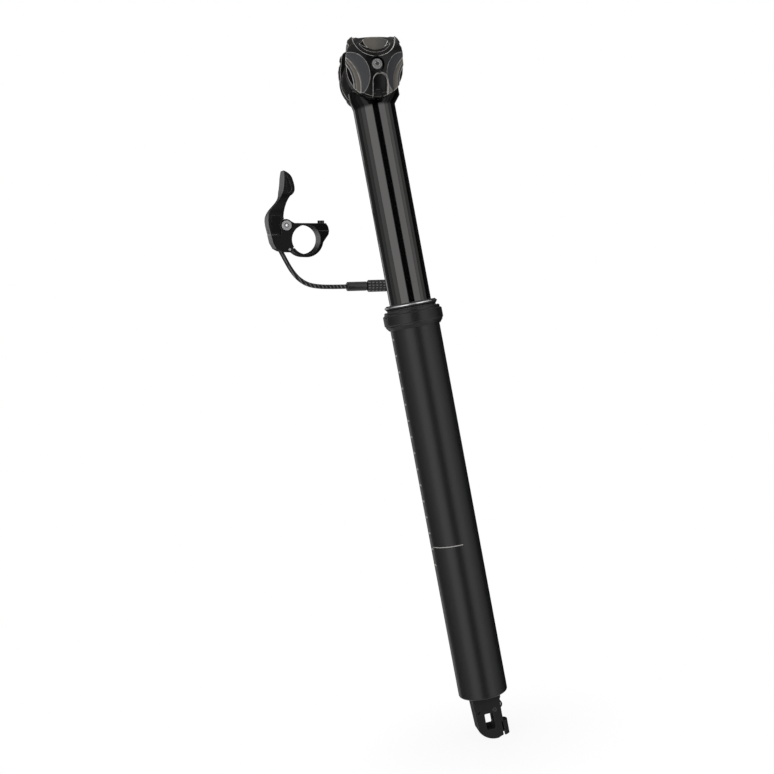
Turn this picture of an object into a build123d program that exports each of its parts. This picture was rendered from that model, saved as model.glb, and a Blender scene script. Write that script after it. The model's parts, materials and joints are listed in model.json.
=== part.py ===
from build123d import *
# A dropper seatpost: a lower tube for the seat tube, a stanchion that drops into it on a gas
# cartridge, a suspension spring inside the stanchion, a one-bolt saddle clamp that tilts, and a
# cable-pulled actuator at the foot. The handlebar remote stands beside the post on its short cable.
# Millimetres. +Z runs up the post and +X forward. The origin is on the post's axis at the underside
# of the collar, where the bicycle's seat clamp sits when the post is fully inserted.
import os
from math import cos, pi, radians, sin, tan

os.makedirs("parts", exist_ok=True)

# Clearances and cuts
RUNNING = 0.05  # radial, on shafts and sliding sleeves
AIR = 0.3  # between pieces that move past or stand off each other
OVERRUN = 1.0  # how far every cut runs past what it cuts

# Lower tube
TUBE_R = 17.45  # a 34.9 mm seat tube
TUBE_WALL = 1.5
TUBE_BORE_R = TUBE_R - TUBE_WALL
TUBE_LENGTH = 264.4  # below the collar
TUBE_NECK = 9.0  # the threaded stretch inside the collar
TUBE_NECK_STEP = 0.5  # how far the neck lies inside the tube's surface
NECK_R = TUBE_R - TUBE_NECK_STEP
TUBE_EDGE = 1.2  # round of the lower rim

# Collar and wiper
COLLAR_HEIGHT = 13.0
COLLAR_R = 20.8
COLLAR_LIP_R = 19.6
COLLAR_LIP = 2.0
COLLAR_STEP = 0.7
COLLAR_FOOT = 3.2
COLLAR_RIB_R = 0.5
COLLAR_RIB_TURN = 7.0  # degrees between grip grooves
COLLAR_RIBS = 7
WIPER_R = 18.1
WIPER_HEIGHT = 4.3
WIPER_LIP = 0.9
WIPER_RING_WIRE = 0.55
WIPER_RING_SHARE = 1.6  # the ring below the wiper's top, for each unit of its lip

# Stanchion and its head
STANCHION_R = 14.65
STANCHION_WALL = 1.65
STANCHION_BORE_R = STANCHION_R - STANCHION_WALL
STANCHION_OVERLAP = 96.0  # inside the lower tube when fully out
BARREL_HEIGHT = 175.2  # axis of the cross barrel
NECK_DROP = 21.4  # where the neck starts to flare, below the barrel's axis
BORE_DROP = 25.2
STRAIGHT_TOP = BARREL_HEIGHT - NECK_DROP
BORE_TOP = BARREL_HEIGHT - BORE_DROP
BARREL_OFFSET = 1.5  # forward of the post's axis
BARREL_R = 18.6
BARREL_HALF = 14.0
NECK_RISE = 5.6
NECK_HALF_X = 17.6
NECK_HALF_Y = 13.7

# Travel
DROP_TRAVEL = 100.0
SUSPENSION_TRAVEL = 35.0

# Saddle clamp
CLAMP_TILT = 7.0  # degrees, nose down
RAIL_R = 3.5
RAIL_SPREAD = 44.0  # between the two rails' centres
RAIL_RISE = 13.2  # rails above the cross bolt
PARTING = 0.2  # half the gap between cradle and plate
PLATE_R = 19.7
PLATE_RIM = 27.7  # where the plate's side wall ends, from the post's plane
PLATE_NOSE = 34.0  # the plate's outermost point, from the post's plane
PLATE_POCKET_R = 4.9
PLATE_POCKET_DEPTH = 4.2
PLATE_EDGE = 0.5
CRADLE_R = 19.2
HORN_SHARES = [(0.985, 0.17), (0.94, 0.60), (0.917, 0.797), (0.66, 1.08), (0.50, 1.005)]
# The plate's relief, in shares of its radius: a ledge and a bowl between the horns, a dish and a
# lower leaf at each side, and a round-ended channel with a smaller one in it below the bolt
LEDGE_SHARES = ((0.01, 0.995), 0.72)
LEDGE_DEPTH = 1.3
BOWL_SHARES = (0.02, 1.53, 1.16)  # the centre of the bowl's ball, its height from the rails' plane
BOWL_R_SHARE = 1.295
BOWL_FLOOR = 5.0  # over the rails' plane
WELL_SHARES = ((0.05, 0.99), 0.44)
WELL_FLOOR = 4.2
DISH_SHARES = [(2.05, -0.57, 1.70), (-1.99, -0.57, 1.70)]
DISH_R_SHARE = 2.09
LEAF_SHARES = [((1.81, -0.58), 1.23), ((-1.75, -0.58), 1.23)]
LEAF_FLOOR = 1.4  # over the rails' plane
CHANNEL_SHARES = ((0.10, -0.53), 0.255)
CHANNEL_DEPTH = 2.4
SMALL_CHANNEL_SHARES = ((0.06, -0.86), 0.12)
SMALL_CHANNEL_DEPTH = 3.8

# Cross bolt, an M4 socket screw
BOLT_R = 2.0
BOLT_HEAD_R = 3.4
BOLT_HEAD = 4.0
BOLT_SOCKET_R = 1.7
BOLT_SOCKET_DEPTH = 2.2
WASHER_R = 4.4
WASHER = 1.0
NUT_R = 4.0
NUT = 3.2

# Gas cartridge
ROD_R = 5.0
ROD_BORE_R = 1.6
CYLINDER_R = 11.0
CYLINDER_WALL = 1.5
CYLINDER_BORE_R = CYLINDER_R - CYLINDER_WALL
SEAL_HEAD = 14.0
ROD_SEAL = 3.0
ROD_SEAL_R = 7.2
PISTON = 10.0
PISTON_SEAL = 2.4
PISTON_SEAL_DEPTH = 1.6
PISTON_STANDOFF = 7.0
CAP = 9.0
CAP_FLANGE = 5.0
CAP_SPIGOT_R = 6.0
CAP_SPIGOT = 8.0
CAP_CLEARANCE = 1.3  # over the piston at full drop

# Sleeves and stops inside the post
UPPER_BUSHING = 34.0
UPPER_BUSHING_DEPTH = 2.0  # below the tube's mouth
LOWER_BUSHING = 14.0
LOWER_BUSHING_UP = 2.0
KEY_LENGTH = 14.0
KEY_WIDTH = 3.0
KEY_SINK = 0.9
KEY_RISE = 0.55
KEY_GAP = 3.0
KEY_COUNT = 3
END_CAP = 8.0
END_FLANGE = 2.0
BUMPER = 4.0
BUMPER_WALL = 6.0
SPRING_SEAT = 2.0
SPRING_SEAT_WALL = 4.0

# Suspension spring
SPRING_WIRE_R = 1.5
SPRING_TURNS = 9

# Foot plug and rod nut
PLUG = 15.0
PLUG_RECESS = 2.0
ROD_NUT = 5.0
ROD_NUT_R = 8.0

# Actuator at the foot
FRAME_HEIGHT = 34.2
FRAME_DEPTH = 15.0
FRAME_SHARES = [(0.11, -1.00), (0.27, -0.94), (0.27, -0.22), (0.300, -0.16), (0.300, 0.00), (-0.300, 0.00),
                (-0.262, -0.80)]
FRAME_FOOT_SHARES = (-0.14, -0.93)  # the arc between its last point and its first
WINDOW_WIDTH = 6.6
WINDOW_HEIGHT = 11.6
WINDOW_EDGE = 0.8
WINDOW_DROP = 21.2  # its centre below the plug
ROCKER_SLOT = 6.4
ROCKER_SLOT_RISE = 5.8  # its top above the pivot
ROCKER_WIDTH = 5.6
PIVOT_X = 4.6
PIVOT_DROP = 13.6
PIVOT_R = 1.25
ROCKER_HUB_R = 2.7
NOSE_R = 1.5
NOSE_RISE = 3.7
NIPPLE_X = 8.6
NIPPLE_RISE = 1.4
NIPPLE_EYE_R = 3.0
NIPPLE_R = 2.0
WIRE_HOLE_R = 0.9
WIRE_SLOT = 1.7
GRUB_R = 1.0
GRUB = 2.2
CUP_R = 4.9
CUP_HEIGHT = 10.0
CUP_BORE_R = 2.55
CUP_BORE = 6.0
FRAME_SCREW_X = -7.2
FRAME_SCREW_R = 1.3
FRAME_SCREW_RECESS = 1.2
ROD_TAIL = 5.5  # the rod's threaded end inside the frame
VALVE_R = 1.2
VALVE_TAIL = 2.6

# Handlebar remote: a body and a hinged band that clamp the bar, and a thumb lever
BAR_R = 11.1  # a 22.2 mm handlebar
REMOTE_AT = (-56.1, 95.0, 80.6)
REMOTE_RIGHT = (0.9765, 0.1469, -0.1600)
REMOTE_FACE = (0.1300, -0.9850, -0.1100)
REMOTE_WIDTH = 16.0
BODY_SHARES = [(-0.82, 1.12), (1.40, 1.12), (1.55, 0.90), (1.62, 0.60), (0.80, 0.60), (0.0, 0.0),
               (-0.92, -0.56), (-1.05, -0.80), (-1.25, -0.88), (-1.50, -0.87), (-1.80, -0.80),
               (-2.10, -0.64), (-2.32, -0.25), (-2.45, 0.31), (-1.77, 0.31), (-1.72, 0.60),
               (-1.70, 1.22), (-1.39, 1.36), (-1.12, 1.28)]
BAND_WALL = 2.4
BAND_LUG_SHARES = [(0.80, 0.60), (1.62, 0.60), (1.58, 0.36), (1.11, -0.32), (0.73, -0.82),
                   (0.30, -1.15), (0.0, -0.60)]
BAND_ZONE_SHARES = [(0.0, 0.0), (0.80, 0.60), (2.2, 0.60), (2.2, -2.0), (-1.9, -2.0), (-0.98, -0.72)]
HINGE_AT = (-12.8, -7.6)
HINGE_PIN_R = 0.9
HINGE_EYE_R = 2.2
HINGE_KNUCKLE = 5.0
BAND_BOLT_X = 13.4
BAND_BOLT_R = 1.5
BAND_BOLT_HEAD_R = 2.6
BAND_BOLT_HEAD = 2.2
BAND_BOLT_LENGTH = 11.5
BAND_SOCKET_R = 1.3
BAND_SOCKET_DEPTH = 1.2
LEVER_AT = (-15.4, 10.6)  # the lever's pivot, from the clamp's centre
LEVER_REACH = 41.4
LEVER_WIDTH = 15.0
PADDLE_WIDTH = 19.0
NECK_WIDTH = 8.0
LEVER_HUB_R = 4.3
LEVER_HUB_WIDTH = 6.0
CHEEK_SLOT = 6.6
CHEEK_R = 4.8
BLADE_RIGHT_SHARES = [(-0.027, 0.995), (0.022, 0.969), (0.085, 0.908), (0.121, 0.826), (0.150, 0.717),
                      (0.150, 0.621), (0.085, 0.536)]
BLADE_NECK_SHARES = [(0.085, 0.536), (0.034, 0.428), (-0.017, 0.283), (-0.048, 0.150)]
BLADE_INNER_SHARES = [(-0.048, 0.150), (0.0, 0.0), (-0.130, 0.0), (-0.116, -0.168), (-0.285, -0.168)]
BLADE_LEFT_SHARES = [(-0.285, -0.168), (-0.318, -0.034), (-0.333, 0.101), (-0.310, 0.210),
                     (-0.205, 0.355), (-0.099, 0.500), (-0.058, 0.633), (-0.036, 0.814),
                     (-0.027, 0.995)]
# the blade's half width by its height: the lobe and hub, the neck, and the thumb's paddle
PADDLE_SHARES = (0.150, 0.330, 0.460, 0.620, 0.860, 1.0)
PADDLE_TIP_SHARE = 0.55
BLADE_POCKET_SHARES = [(0.004, 0.900), (0.050, 0.830), (0.085, 0.735), (0.098, 0.640), (0.050, 0.590),
                       (0.012, 0.660), (0.004, 0.780)]
BLADE_POCKET_DEPTH = 1.3
LEVER_CAP_SHARES = (-0.192, 0.015)
LEVER_CAP_WIDTH = 6.7
LEVER_CAP_LENGTH = 13.0
LEVER_CAP_DEPTH = 2.5
LEVER_CAP_PROUD = 0.5
LEVER_BOLT_R = 1.6
LEVER_BOLT_HEAD_R = 3.7
LEVER_BOLT_HEAD = 1.5
LEVER_SOCKET_R = 1.3
LEVER_SOCKET_DEPTH = 1.0
BUSH_WALL = 0.8
LEVER_NUT_R = 2.9
LEVER_NUT = 1.4
LEVER_SPRING_R = 3.0
LEVER_SPRING_WIRE_R = 0.3
LEVER_SPRING_TURNS = 2
LEVER_SPRING_POCKET = 3.2
LEVER_NIPPLE_SHARES = (-0.230, 0.025)
LEVER_NIPPLE_R = 2.2
LEVER_NIPPLE_LENGTH = 4.6
LEVER_NIPPLE_SLOT = 6.6

# Cable: its housing's route in the remote's own plane, from the body's socket to the ferrule
HOUSING_R = 1.75
HOUSING_BORE_R = 0.9
WIRE_R = 0.6
ROUTE = [(-19.3, -7.0), (-14.9, -15.4), (-10.0, -24.0), (-3.9, -30.9), (3.4, -34.9),
         (12.0, -36.3), (21.0, -36.5), (27.8, -36.5), (33.8, -36.4)]
ROUTE_RADIUS_SHARE = 0.45
SOCKET_CLEARANCE = 0.1
FERRULE_R = 3.6
FERRULE_LENGTH = 16.2
FERRULE_EDGE = 0.6
FERRULE_SPIGOT_R = 2.3
FERRULE_SPIGOT = 6.0
ADJUSTER_R = 4.7
ADJUSTER_LENGTH = 17.0
ADJUSTER_EDGE = 1.2
ADJUSTER_GROOVES = 26
ADJUSTER_GROOVE_R = 0.35
WIRE_TAIL = 7.0
CRIMP_R = 1.1
CRIMP = 4.0


def save(builder, name):
    """names a finished piece and writes its file"""
    builder.part.label = name
    export_step(builder.part, f"parts/{name}.step")


def scaled(shares, size):
    """an outline's points from its shares of one size"""
    return [(u * size, v * size) for u, v in shares]


def ring(outer, inner, bottom, height):
    """a plain sleeve on the post's axis, from its lower face up"""
    with BuildSketch(Plane.XY.offset(bottom)) as section:
        Circle(outer)
        Circle(inner, mode=Mode.SUBTRACT)
    extrude(section.sketch, amount=height)


def disc(radius, bottom, height, mode=Mode.ADD):
    """a plain round on the post's axis, from its lower face up"""
    with BuildSketch(Plane.XY.offset(bottom)) as section:
        Circle(radius)
    extrude(section.sketch, amount=height, mode=mode)


def cross_disc(plane, at, radius, near, far, mode=Mode.ADD):
    """a round across a side plane, from its far side's distance to its near side's"""
    with BuildSketch(plane.offset(far)) as section:
        with Locations(at):
            Circle(radius)
    extrude(section.sketch, amount=near - far, mode=mode)


def coil(radius, wire, bottom, height, turns, centre=Plane.XY):
    """a spring of tangent arcs, two to each quarter turn of its helix"""
    rise = height / turns
    quarter = pi / 2

    def place(turn):
        return centre.from_local_coords(
            Vector(radius * cos(turn), radius * sin(turn), bottom + rise * turn / (2 * pi)))

    def ahead(turn):
        along = Vector(-radius * sin(turn), radius * cos(turn), rise / (2 * pi))
        return (centre.from_local_coords(along) - centre.origin).normalized()

    with BuildLine() as helix:
        for step in range(4 * turns):
            start, end = place(step * quarter), place((step + 1) * quarter)
            leave, arrive = ahead(step * quarter), ahead((step + 1) * quarter)
            chord = end - start
            both = leave + arrive
            # the length of both handles for which the two arcs meet in one tangent
            a, b, c = both.dot(both) - 4, -2 * chord.dot(both), chord.dot(chord)
            handle = (-b - (b * b - 4 * a * c) ** 0.5) / (2 * a)
            meet = (start + leave * handle + end - arrive * handle) * 0.5
            TangentArc(start, meet, tangent=leave)
            TangentArc(meet, end, tangent=(end - arrive * handle) - (start + leave * handle))
    with BuildSketch(Plane(origin=place(0), z_dir=ahead(0))) as section:
        Circle(wire)
    sweep(section.sketch, path=helix.wire())


# Heights that several pieces share
COLLAR_TOP = COLLAR_HEIGHT
WIPER_TOP = COLLAR_TOP + WIPER_HEIGHT
STANCHION_FOOT = -STANCHION_OVERLAP
END_CAP_TOP = STANCHION_FOOT + END_CAP
CYLINDER_FOOT = END_CAP_TOP + BUMPER + AIR
PISTON_FOOT = CYLINDER_FOOT + SEAL_HEAD + PISTON_STANDOFF
CAP_FOOT = PISTON_FOOT + PISTON + DROP_TRAVEL + CAP_CLEARANCE
CYLINDER_TOP = CAP_FOOT + CAP
SPRING_FOOT = CYLINDER_TOP + CAP_FLANGE
SPRING_TOP = BORE_TOP - SPRING_SEAT
PLUG_FOOT = PLUG_RECESS - TUBE_LENGTH
ROD_FOOT = PLUG_FOOT - ROD_TAIL
KEY_FOOT = STANCHION_FOOT + LOWER_BUSHING_UP + LOWER_BUSHING + KEY_GAP
GROOVE_TOP = KEY_FOOT + KEY_LENGTH + AIR

# Lower tube, with grooves in its bore for the guide keys
with BuildPart() as lower_tube:
    disc(TUBE_R, -TUBE_LENGTH, TUBE_LENGTH)
    fillet(lower_tube.faces().sort_by(Axis.Z)[0].edges(), TUBE_EDGE)
    disc(NECK_R, 0, TUBE_NECK)
    disc(TUBE_BORE_R, -TUBE_LENGTH - OVERRUN, TUBE_LENGTH + TUBE_NECK + 2 * OVERRUN, mode=Mode.SUBTRACT)
    with BuildSketch(Plane.XY.offset(PLUG_FOOT + PLUG)):
        with PolarLocations(TUBE_BORE_R, KEY_COUNT):
            Rectangle(2 * (KEY_RISE + AIR), KEY_WIDTH + 2 * RUNNING)
    extrude(amount=GROOVE_TOP - PLUG_FOOT - PLUG, mode=Mode.SUBTRACT)
save(lower_tube, "lower_tube")

# Collar: a nut on the tube's neck, with grip grooves at its two sides
with BuildPart() as collar_nut:
    with BuildSketch(Plane.XZ):
        with BuildLine():
            Polyline(
                (NECK_R, 0),
                (TUBE_R + COLLAR_STEP, 0),
                (COLLAR_R - COLLAR_STEP, COLLAR_FOOT - COLLAR_STEP),
                (COLLAR_R - COLLAR_STEP, COLLAR_FOOT),
                (COLLAR_R, COLLAR_FOOT + COLLAR_STEP),
                (COLLAR_R, COLLAR_TOP - COLLAR_LIP - COLLAR_STEP),
                (COLLAR_LIP_R, COLLAR_TOP - COLLAR_LIP),
                (COLLAR_LIP_R, COLLAR_TOP - COLLAR_STEP),
                (COLLAR_LIP_R - COLLAR_STEP, COLLAR_TOP),
                (STANCHION_R + AIR, COLLAR_TOP),
                (STANCHION_R + AIR, TUBE_NECK),
                (NECK_R, TUBE_NECK),
                close=True,
            )
        make_face()
    revolve(axis=Axis.Z)
    with BuildSketch(Plane.XY):
        for side in (0, 180):
            with PolarLocations(COLLAR_R, COLLAR_RIBS, side - COLLAR_RIB_TURN * (COLLAR_RIBS - 1) / 2,
                                COLLAR_RIB_TURN * (COLLAR_RIBS - 1), endpoint=True):
                Circle(COLLAR_RIB_R)
    extrude(amount=COLLAR_TOP - COLLAR_LIP, mode=Mode.SUBTRACT)
save(collar_nut, "collar_nut")

# Wiper: a rubber seal with two lips, held by a bright wire ring between them
with BuildPart() as wiper_seal:
    with BuildSketch(Plane.XZ):
        with BuildLine():
            Polyline(
                (STANCHION_R + RUNNING, COLLAR_TOP),
                (WIPER_R - WIPER_LIP, COLLAR_TOP),
                (WIPER_R - WIPER_LIP, COLLAR_TOP + WIPER_LIP),
                (WIPER_R, COLLAR_TOP + 2 * WIPER_LIP),
                (WIPER_R, WIPER_TOP - WIPER_LIP),
                (WIPER_R - WIPER_LIP, WIPER_TOP),
                (STANCHION_R + WIPER_LIP, WIPER_TOP),
                (STANCHION_R + RUNNING, WIPER_TOP - WIPER_LIP),
                close=True,
            )
        make_face()
        with Locations((WIPER_R, WIPER_TOP - WIPER_RING_SHARE * WIPER_LIP)):
            Circle(WIPER_RING_WIRE, mode=Mode.SUBTRACT)
    revolve(axis=Axis.Z)
save(wiper_seal, "wiper_seal")

with BuildPart() as wiper_ring:
    with BuildSketch(Plane.XZ):
        with Locations((WIPER_R, WIPER_TOP - WIPER_RING_SHARE * WIPER_LIP)):
            Circle(WIPER_RING_WIRE)
    revolve(axis=Axis.Z)
save(wiper_ring, "wiper_ring")

# Sleeves that the stanchion runs in
with BuildPart() as upper_bushing:
    ring(TUBE_BORE_R, STANCHION_R + RUNNING, TUBE_NECK - UPPER_BUSHING_DEPTH - UPPER_BUSHING, UPPER_BUSHING)
save(upper_bushing, "upper_bushing")

with BuildPart() as lower_bushing:
    ring(TUBE_BORE_R - RUNNING, STANCHION_R, STANCHION_FOOT + LOWER_BUSHING_UP, LOWER_BUSHING)
save(lower_bushing, "lower_bushing")

# Stanchion: a tube that flares into the cross barrel of the saddle clamp
HEAD = Plane(origin=(BARREL_OFFSET, 0, BARREL_HEIGHT), x_dir=(1, 0, 0), z_dir=(0, -1, 0))
with BuildPart() as stanchion:
    disc(STANCHION_R, STANCHION_FOOT, STRAIGHT_TOP - STANCHION_FOOT)
    with BuildSketch(Plane.XY.offset(STRAIGHT_TOP)):
        Circle(STANCHION_R)
    with BuildSketch(Plane.XY.offset(STRAIGHT_TOP + NECK_RISE)):
        with Locations((BARREL_OFFSET, 0)):
            Ellipse(NECK_HALF_X, NECK_HALF_Y)
    loft()
    with BuildSketch(Plane.XY.offset(STRAIGHT_TOP + NECK_RISE)):
        with Locations((BARREL_OFFSET, 0)):
            Ellipse(NECK_HALF_X, NECK_HALF_Y)
    extrude(amount=NECK_RISE)
    cross_disc(HEAD, (0, 0), BARREL_R, BARREL_HALF, -BARREL_HALF)
    cross_disc(HEAD, (0, 0), BOLT_R + RUNNING, BARREL_HALF + OVERRUN, -BARREL_HALF - OVERRUN,
               mode=Mode.SUBTRACT)
    disc(STANCHION_BORE_R, STANCHION_FOOT - OVERRUN, BORE_TOP - STANCHION_FOOT + OVERRUN, mode=Mode.SUBTRACT)
    with BuildSketch(Plane.XY.offset(KEY_FOOT)):
        with PolarLocations(STANCHION_R, KEY_COUNT):
            Rectangle(2 * KEY_SINK, KEY_WIDTH)
    extrude(amount=KEY_LENGTH, mode=Mode.SUBTRACT)
save(stanchion, "stanchion")

# Brass keys in the stanchion's pockets, which slide in the tube's grooves
with BuildPart() as guide_keys:
    with BuildSketch(Plane.XY.offset(KEY_FOOT)):
        with PolarLocations(TUBE_BORE_R + KEY_RISE - (TUBE_BORE_R + KEY_RISE - STANCHION_R + KEY_SINK) / 2,
                            KEY_COUNT):
            Rectangle(TUBE_BORE_R + KEY_RISE - STANCHION_R + KEY_SINK, KEY_WIDTH)
    extrude(amount=KEY_LENGTH)
save(guide_keys, "guide_keys")

# Stanchion's end cap, which stops the cartridge, and its rubber bumper
with BuildPart() as stanchion_end_cap:
    ring(STANCHION_BORE_R, ROD_R + AIR, STANCHION_FOOT, END_CAP)
    ring(STANCHION_R, ROD_R + AIR, STANCHION_FOOT - END_FLANGE, END_FLANGE)
save(stanchion_end_cap, "stanchion_end_cap")

with BuildPart() as topout_bumper:
    ring(ROD_R + AIR + BUMPER_WALL, ROD_R + AIR, END_CAP_TOP, BUMPER)
save(topout_bumper, "topout_bumper")

# Gas cartridge: cylinder, seal head with its lip seal, and the cap that carries the spring
with BuildPart() as cartridge_cylinder:
    ring(CYLINDER_R, CYLINDER_BORE_R, CYLINDER_FOOT, CYLINDER_TOP - CYLINDER_FOOT)
save(cartridge_cylinder, "cartridge_cylinder")

with BuildPart() as cartridge_seal_head:
    ring(CYLINDER_BORE_R, ROD_R + RUNNING, CYLINDER_FOOT, SEAL_HEAD)
    disc(ROD_SEAL_R, CYLINDER_FOOT + SEAL_HEAD - ROD_SEAL, ROD_SEAL + OVERRUN, mode=Mode.SUBTRACT)
save(cartridge_seal_head, "cartridge_seal_head")

with BuildPart() as rod_seal:
    ring(ROD_SEAL_R, ROD_R + RUNNING, CYLINDER_FOOT + SEAL_HEAD - ROD_SEAL, ROD_SEAL)
save(rod_seal, "rod_seal")

with BuildPart() as cartridge_cap:
    disc(CYLINDER_BORE_R, CAP_FOOT, CAP)
    disc(STANCHION_BORE_R - RUNNING, CYLINDER_TOP, CAP_FLANGE)
    disc(CAP_SPIGOT_R, SPRING_FOOT, CAP_SPIGOT)
save(cartridge_cap, "cartridge_cap")

# Cartridge rod, fixed in the foot plug, with its piston and seal
with BuildPart() as cartridge_rod:
    ring(ROD_R, ROD_BORE_R, ROD_FOOT, PISTON_FOOT + PISTON - ROD_FOOT)
save(cartridge_rod, "cartridge_rod")

with BuildPart() as piston:
    ring(CYLINDER_BORE_R - RUNNING, ROD_R, PISTON_FOOT, PISTON)
    with BuildSketch(Plane.XY.offset(PISTON_FOOT + (PISTON - PISTON_SEAL) / 2)):
        Circle(CYLINDER_BORE_R)
        Circle(CYLINDER_BORE_R - RUNNING - PISTON_SEAL_DEPTH, mode=Mode.SUBTRACT)
    extrude(amount=PISTON_SEAL, mode=Mode.SUBTRACT)
save(piston, "piston")

with BuildPart() as piston_seal:
    ring(CYLINDER_BORE_R - RUNNING, CYLINDER_BORE_R - RUNNING - PISTON_SEAL_DEPTH,
         PISTON_FOOT + (PISTON - PISTON_SEAL) / 2, PISTON_SEAL)
save(piston_seal, "piston_seal")

# Suspension spring between the cartridge's cap and the seat under the head
with BuildPart() as suspension_spring:
    coil(STANCHION_BORE_R - AIR - SPRING_WIRE_R, SPRING_WIRE_R, SPRING_FOOT + SPRING_WIRE_R + AIR,
         SPRING_TOP - SPRING_FOOT - 2 * (SPRING_WIRE_R + AIR), SPRING_TURNS)
save(suspension_spring, "suspension_spring")

with BuildPart() as spring_seat:
    ring(STANCHION_BORE_R, STANCHION_BORE_R - SPRING_SEAT_WALL, SPRING_TOP, SPRING_SEAT)
save(spring_seat, "spring_seat")

# Foot plug in the lower tube and the nut that holds the rod in it
with BuildPart() as foot_plug:
    ring(TUBE_BORE_R, ROD_R, PLUG_FOOT, PLUG)
save(foot_plug, "foot_plug")

with BuildPart() as rod_nut:
    with BuildSketch(Plane.XY.offset(PLUG_FOOT + PLUG)):
        RegularPolygon(ROD_NUT_R, 6)
        Circle(ROD_R, mode=Mode.SUBTRACT)
    extrude(amount=ROD_NUT)
save(rod_nut, "rod_nut")

# Saddle clamp, tilted on the cross bolt: outer plates, inner cradles, bolt, washers and nut
CLAMP = Plane(
    origin=(BARREL_OFFSET, 0, BARREL_HEIGHT),
    x_dir=(cos(radians(CLAMP_TILT)), 0, -sin(radians(CLAMP_TILT))),
    z_dir=(0, -1, 0),
)
RAIL_Y = RAIL_SPREAD / 2
CRADLE_INNER = BARREL_HALF + AIR
POCKET_FLOOR = PLATE_NOSE - PLATE_POCKET_DEPTH
RAIL_REACH = 2 * PLATE_R
DOME_DROP = PLATE_NOSE - PLATE_RIM
DOME_R = (PLATE_R * PLATE_R + DOME_DROP * DOME_DROP) / (2 * DOME_DROP)


def clamp_outline(radius):
    """the round lower edge and the two horns, which plates and cradles share"""
    right = scaled(HORN_SHARES, radius)
    with BuildLine() as outline:
        ThreePointArc((-right[0][0], right[0][1]), (0, -radius), right[0])
        Spline(*right[:4], tangents=[(0, 1), (-1, 0)])
        Line(right[3], right[4])
        Line(right[4], (-right[4][0], right[4][1]))
        Line((-right[4][0], right[4][1]), (-right[3][0], right[3][1]))
        Spline(*[(-u, v) for u, v in right[:4]][::-1], tangents=[(-1, 0), (0, -1)])
    make_face(outline.edges())


def rail_groove():
    """half of the saddle rail's round seat, cut on the parting plane"""
    seat = Plane(origin=CLAMP.from_local_coords((0, RAIL_RISE, RAIL_Y)), z_dir=CLAMP.x_dir)
    with BuildSketch(seat.offset(-RAIL_REACH)) as section:
        Circle(RAIL_R)
    extrude(section.sketch, amount=2 * RAIL_REACH, mode=Mode.SUBTRACT)


def ball(place, radius, mode):
    """a ball, placed from the bolt's axis and the post's plane"""
    with Locations(CLAMP.from_local_coords(place)):
        Sphere(radius, mode=mode)


def sink(shares, depth, tail=0):
    """a round, and a straight tail down from it, sunk evenly below the plate's dome"""
    place, radius = shares
    with BuildPart() as cut:
        with BuildSketch(CLAMP.offset(RAIL_Y)) as section:
            with Locations((place[0] * PLATE_R, place[1] * PLATE_R)):
                Circle(radius * PLATE_R)
                if tail:
                    Rectangle(2 * radius * PLATE_R, tail, align=(Align.CENTER, Align.MAX))
        extrude(section.sketch, amount=PLATE_NOSE - RAIL_Y + OVERRUN)
        ball((0, 0, PLATE_NOSE - DOME_R), DOME_R - depth, Mode.SUBTRACT)
    add(cut.part, mode=Mode.SUBTRACT)


def hollow(shares, radius):
    """a ball cut from the plate, placed and sized by shares of the plate's radius"""
    u, v, w = shares
    ball((u * PLATE_R, v * PLATE_R, RAIL_Y + w * PLATE_R), radius * PLATE_R, Mode.SUBTRACT)


def bowl():
    """the flat-floored bowl between the horns"""
    u, v, w = BOWL_SHARES
    with BuildPart() as cut:
        ball((u * PLATE_R, v * PLATE_R, RAIL_Y + w * PLATE_R), BOWL_R_SHARE * PLATE_R, Mode.ADD)
        cross_disc(CLAMP, (0, 0), RAIL_REACH, 2 * PLATE_NOSE, RAIL_Y + BOWL_FLOOR, mode=Mode.INTERSECT)
    add(cut.part, mode=Mode.SUBTRACT)


def well(shares, floor):
    """a round cut from the plate's face down to a floor over the rails' plane"""
    place, radius = shares
    cross_disc(CLAMP, (place[0] * PLATE_R, place[1] * PLATE_R), radius * PLATE_R, PLATE_NOSE, RAIL_Y + floor,
               mode=Mode.SUBTRACT)


with BuildPart() as clamp_plate_right:
    with BuildSketch(CLAMP.offset(RAIL_Y + PARTING)):
        clamp_outline(PLATE_R)
    extrude(amount=PLATE_NOSE - RAIL_Y - PARTING)
    ball((0, 0, PLATE_NOSE - DOME_R), DOME_R, Mode.INTERSECT)
    sink(LEDGE_SHARES, LEDGE_DEPTH)
    bowl()
    well(WELL_SHARES, WELL_FLOOR)
    for dish in DISH_SHARES:
        hollow(dish, DISH_R_SHARE)
    for leaf in LEAF_SHARES:
        well(leaf, LEAF_FLOOR)
    sink(CHANNEL_SHARES, CHANNEL_DEPTH, tail=PLATE_R)
    sink(SMALL_CHANNEL_SHARES, SMALL_CHANNEL_DEPTH, tail=PLATE_R)
    cross_disc(CLAMP, (0, 0), PLATE_POCKET_R, PLATE_NOSE + OVERRUN, POCKET_FLOOR, mode=Mode.SUBTRACT)
    cross_disc(CLAMP, (0, 0), BOLT_R + AIR, PLATE_NOSE, RAIL_Y, mode=Mode.SUBTRACT)
    rail_groove()
save(clamp_plate_right, "clamp_plate_right")

with BuildPart() as clamp_plate_left:
    mirror(clamp_plate_right.part, about=Plane.XZ)
save(clamp_plate_left, "clamp_plate_left")

with BuildPart() as cradle_right:
    with BuildSketch(CLAMP.offset(CRADLE_INNER)):
        clamp_outline(CRADLE_R)
    extrude(amount=RAIL_Y - PARTING - CRADLE_INNER)
    cross_disc(CLAMP, (0, 0), BOLT_R + AIR, RAIL_Y, BARREL_HALF, mode=Mode.SUBTRACT)
    rail_groove()
save(cradle_right, "cradle_right")

with BuildPart() as cradle_left:
    mirror(cradle_right.part, about=Plane.XZ)
save(cradle_left, "cradle_left")

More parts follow.
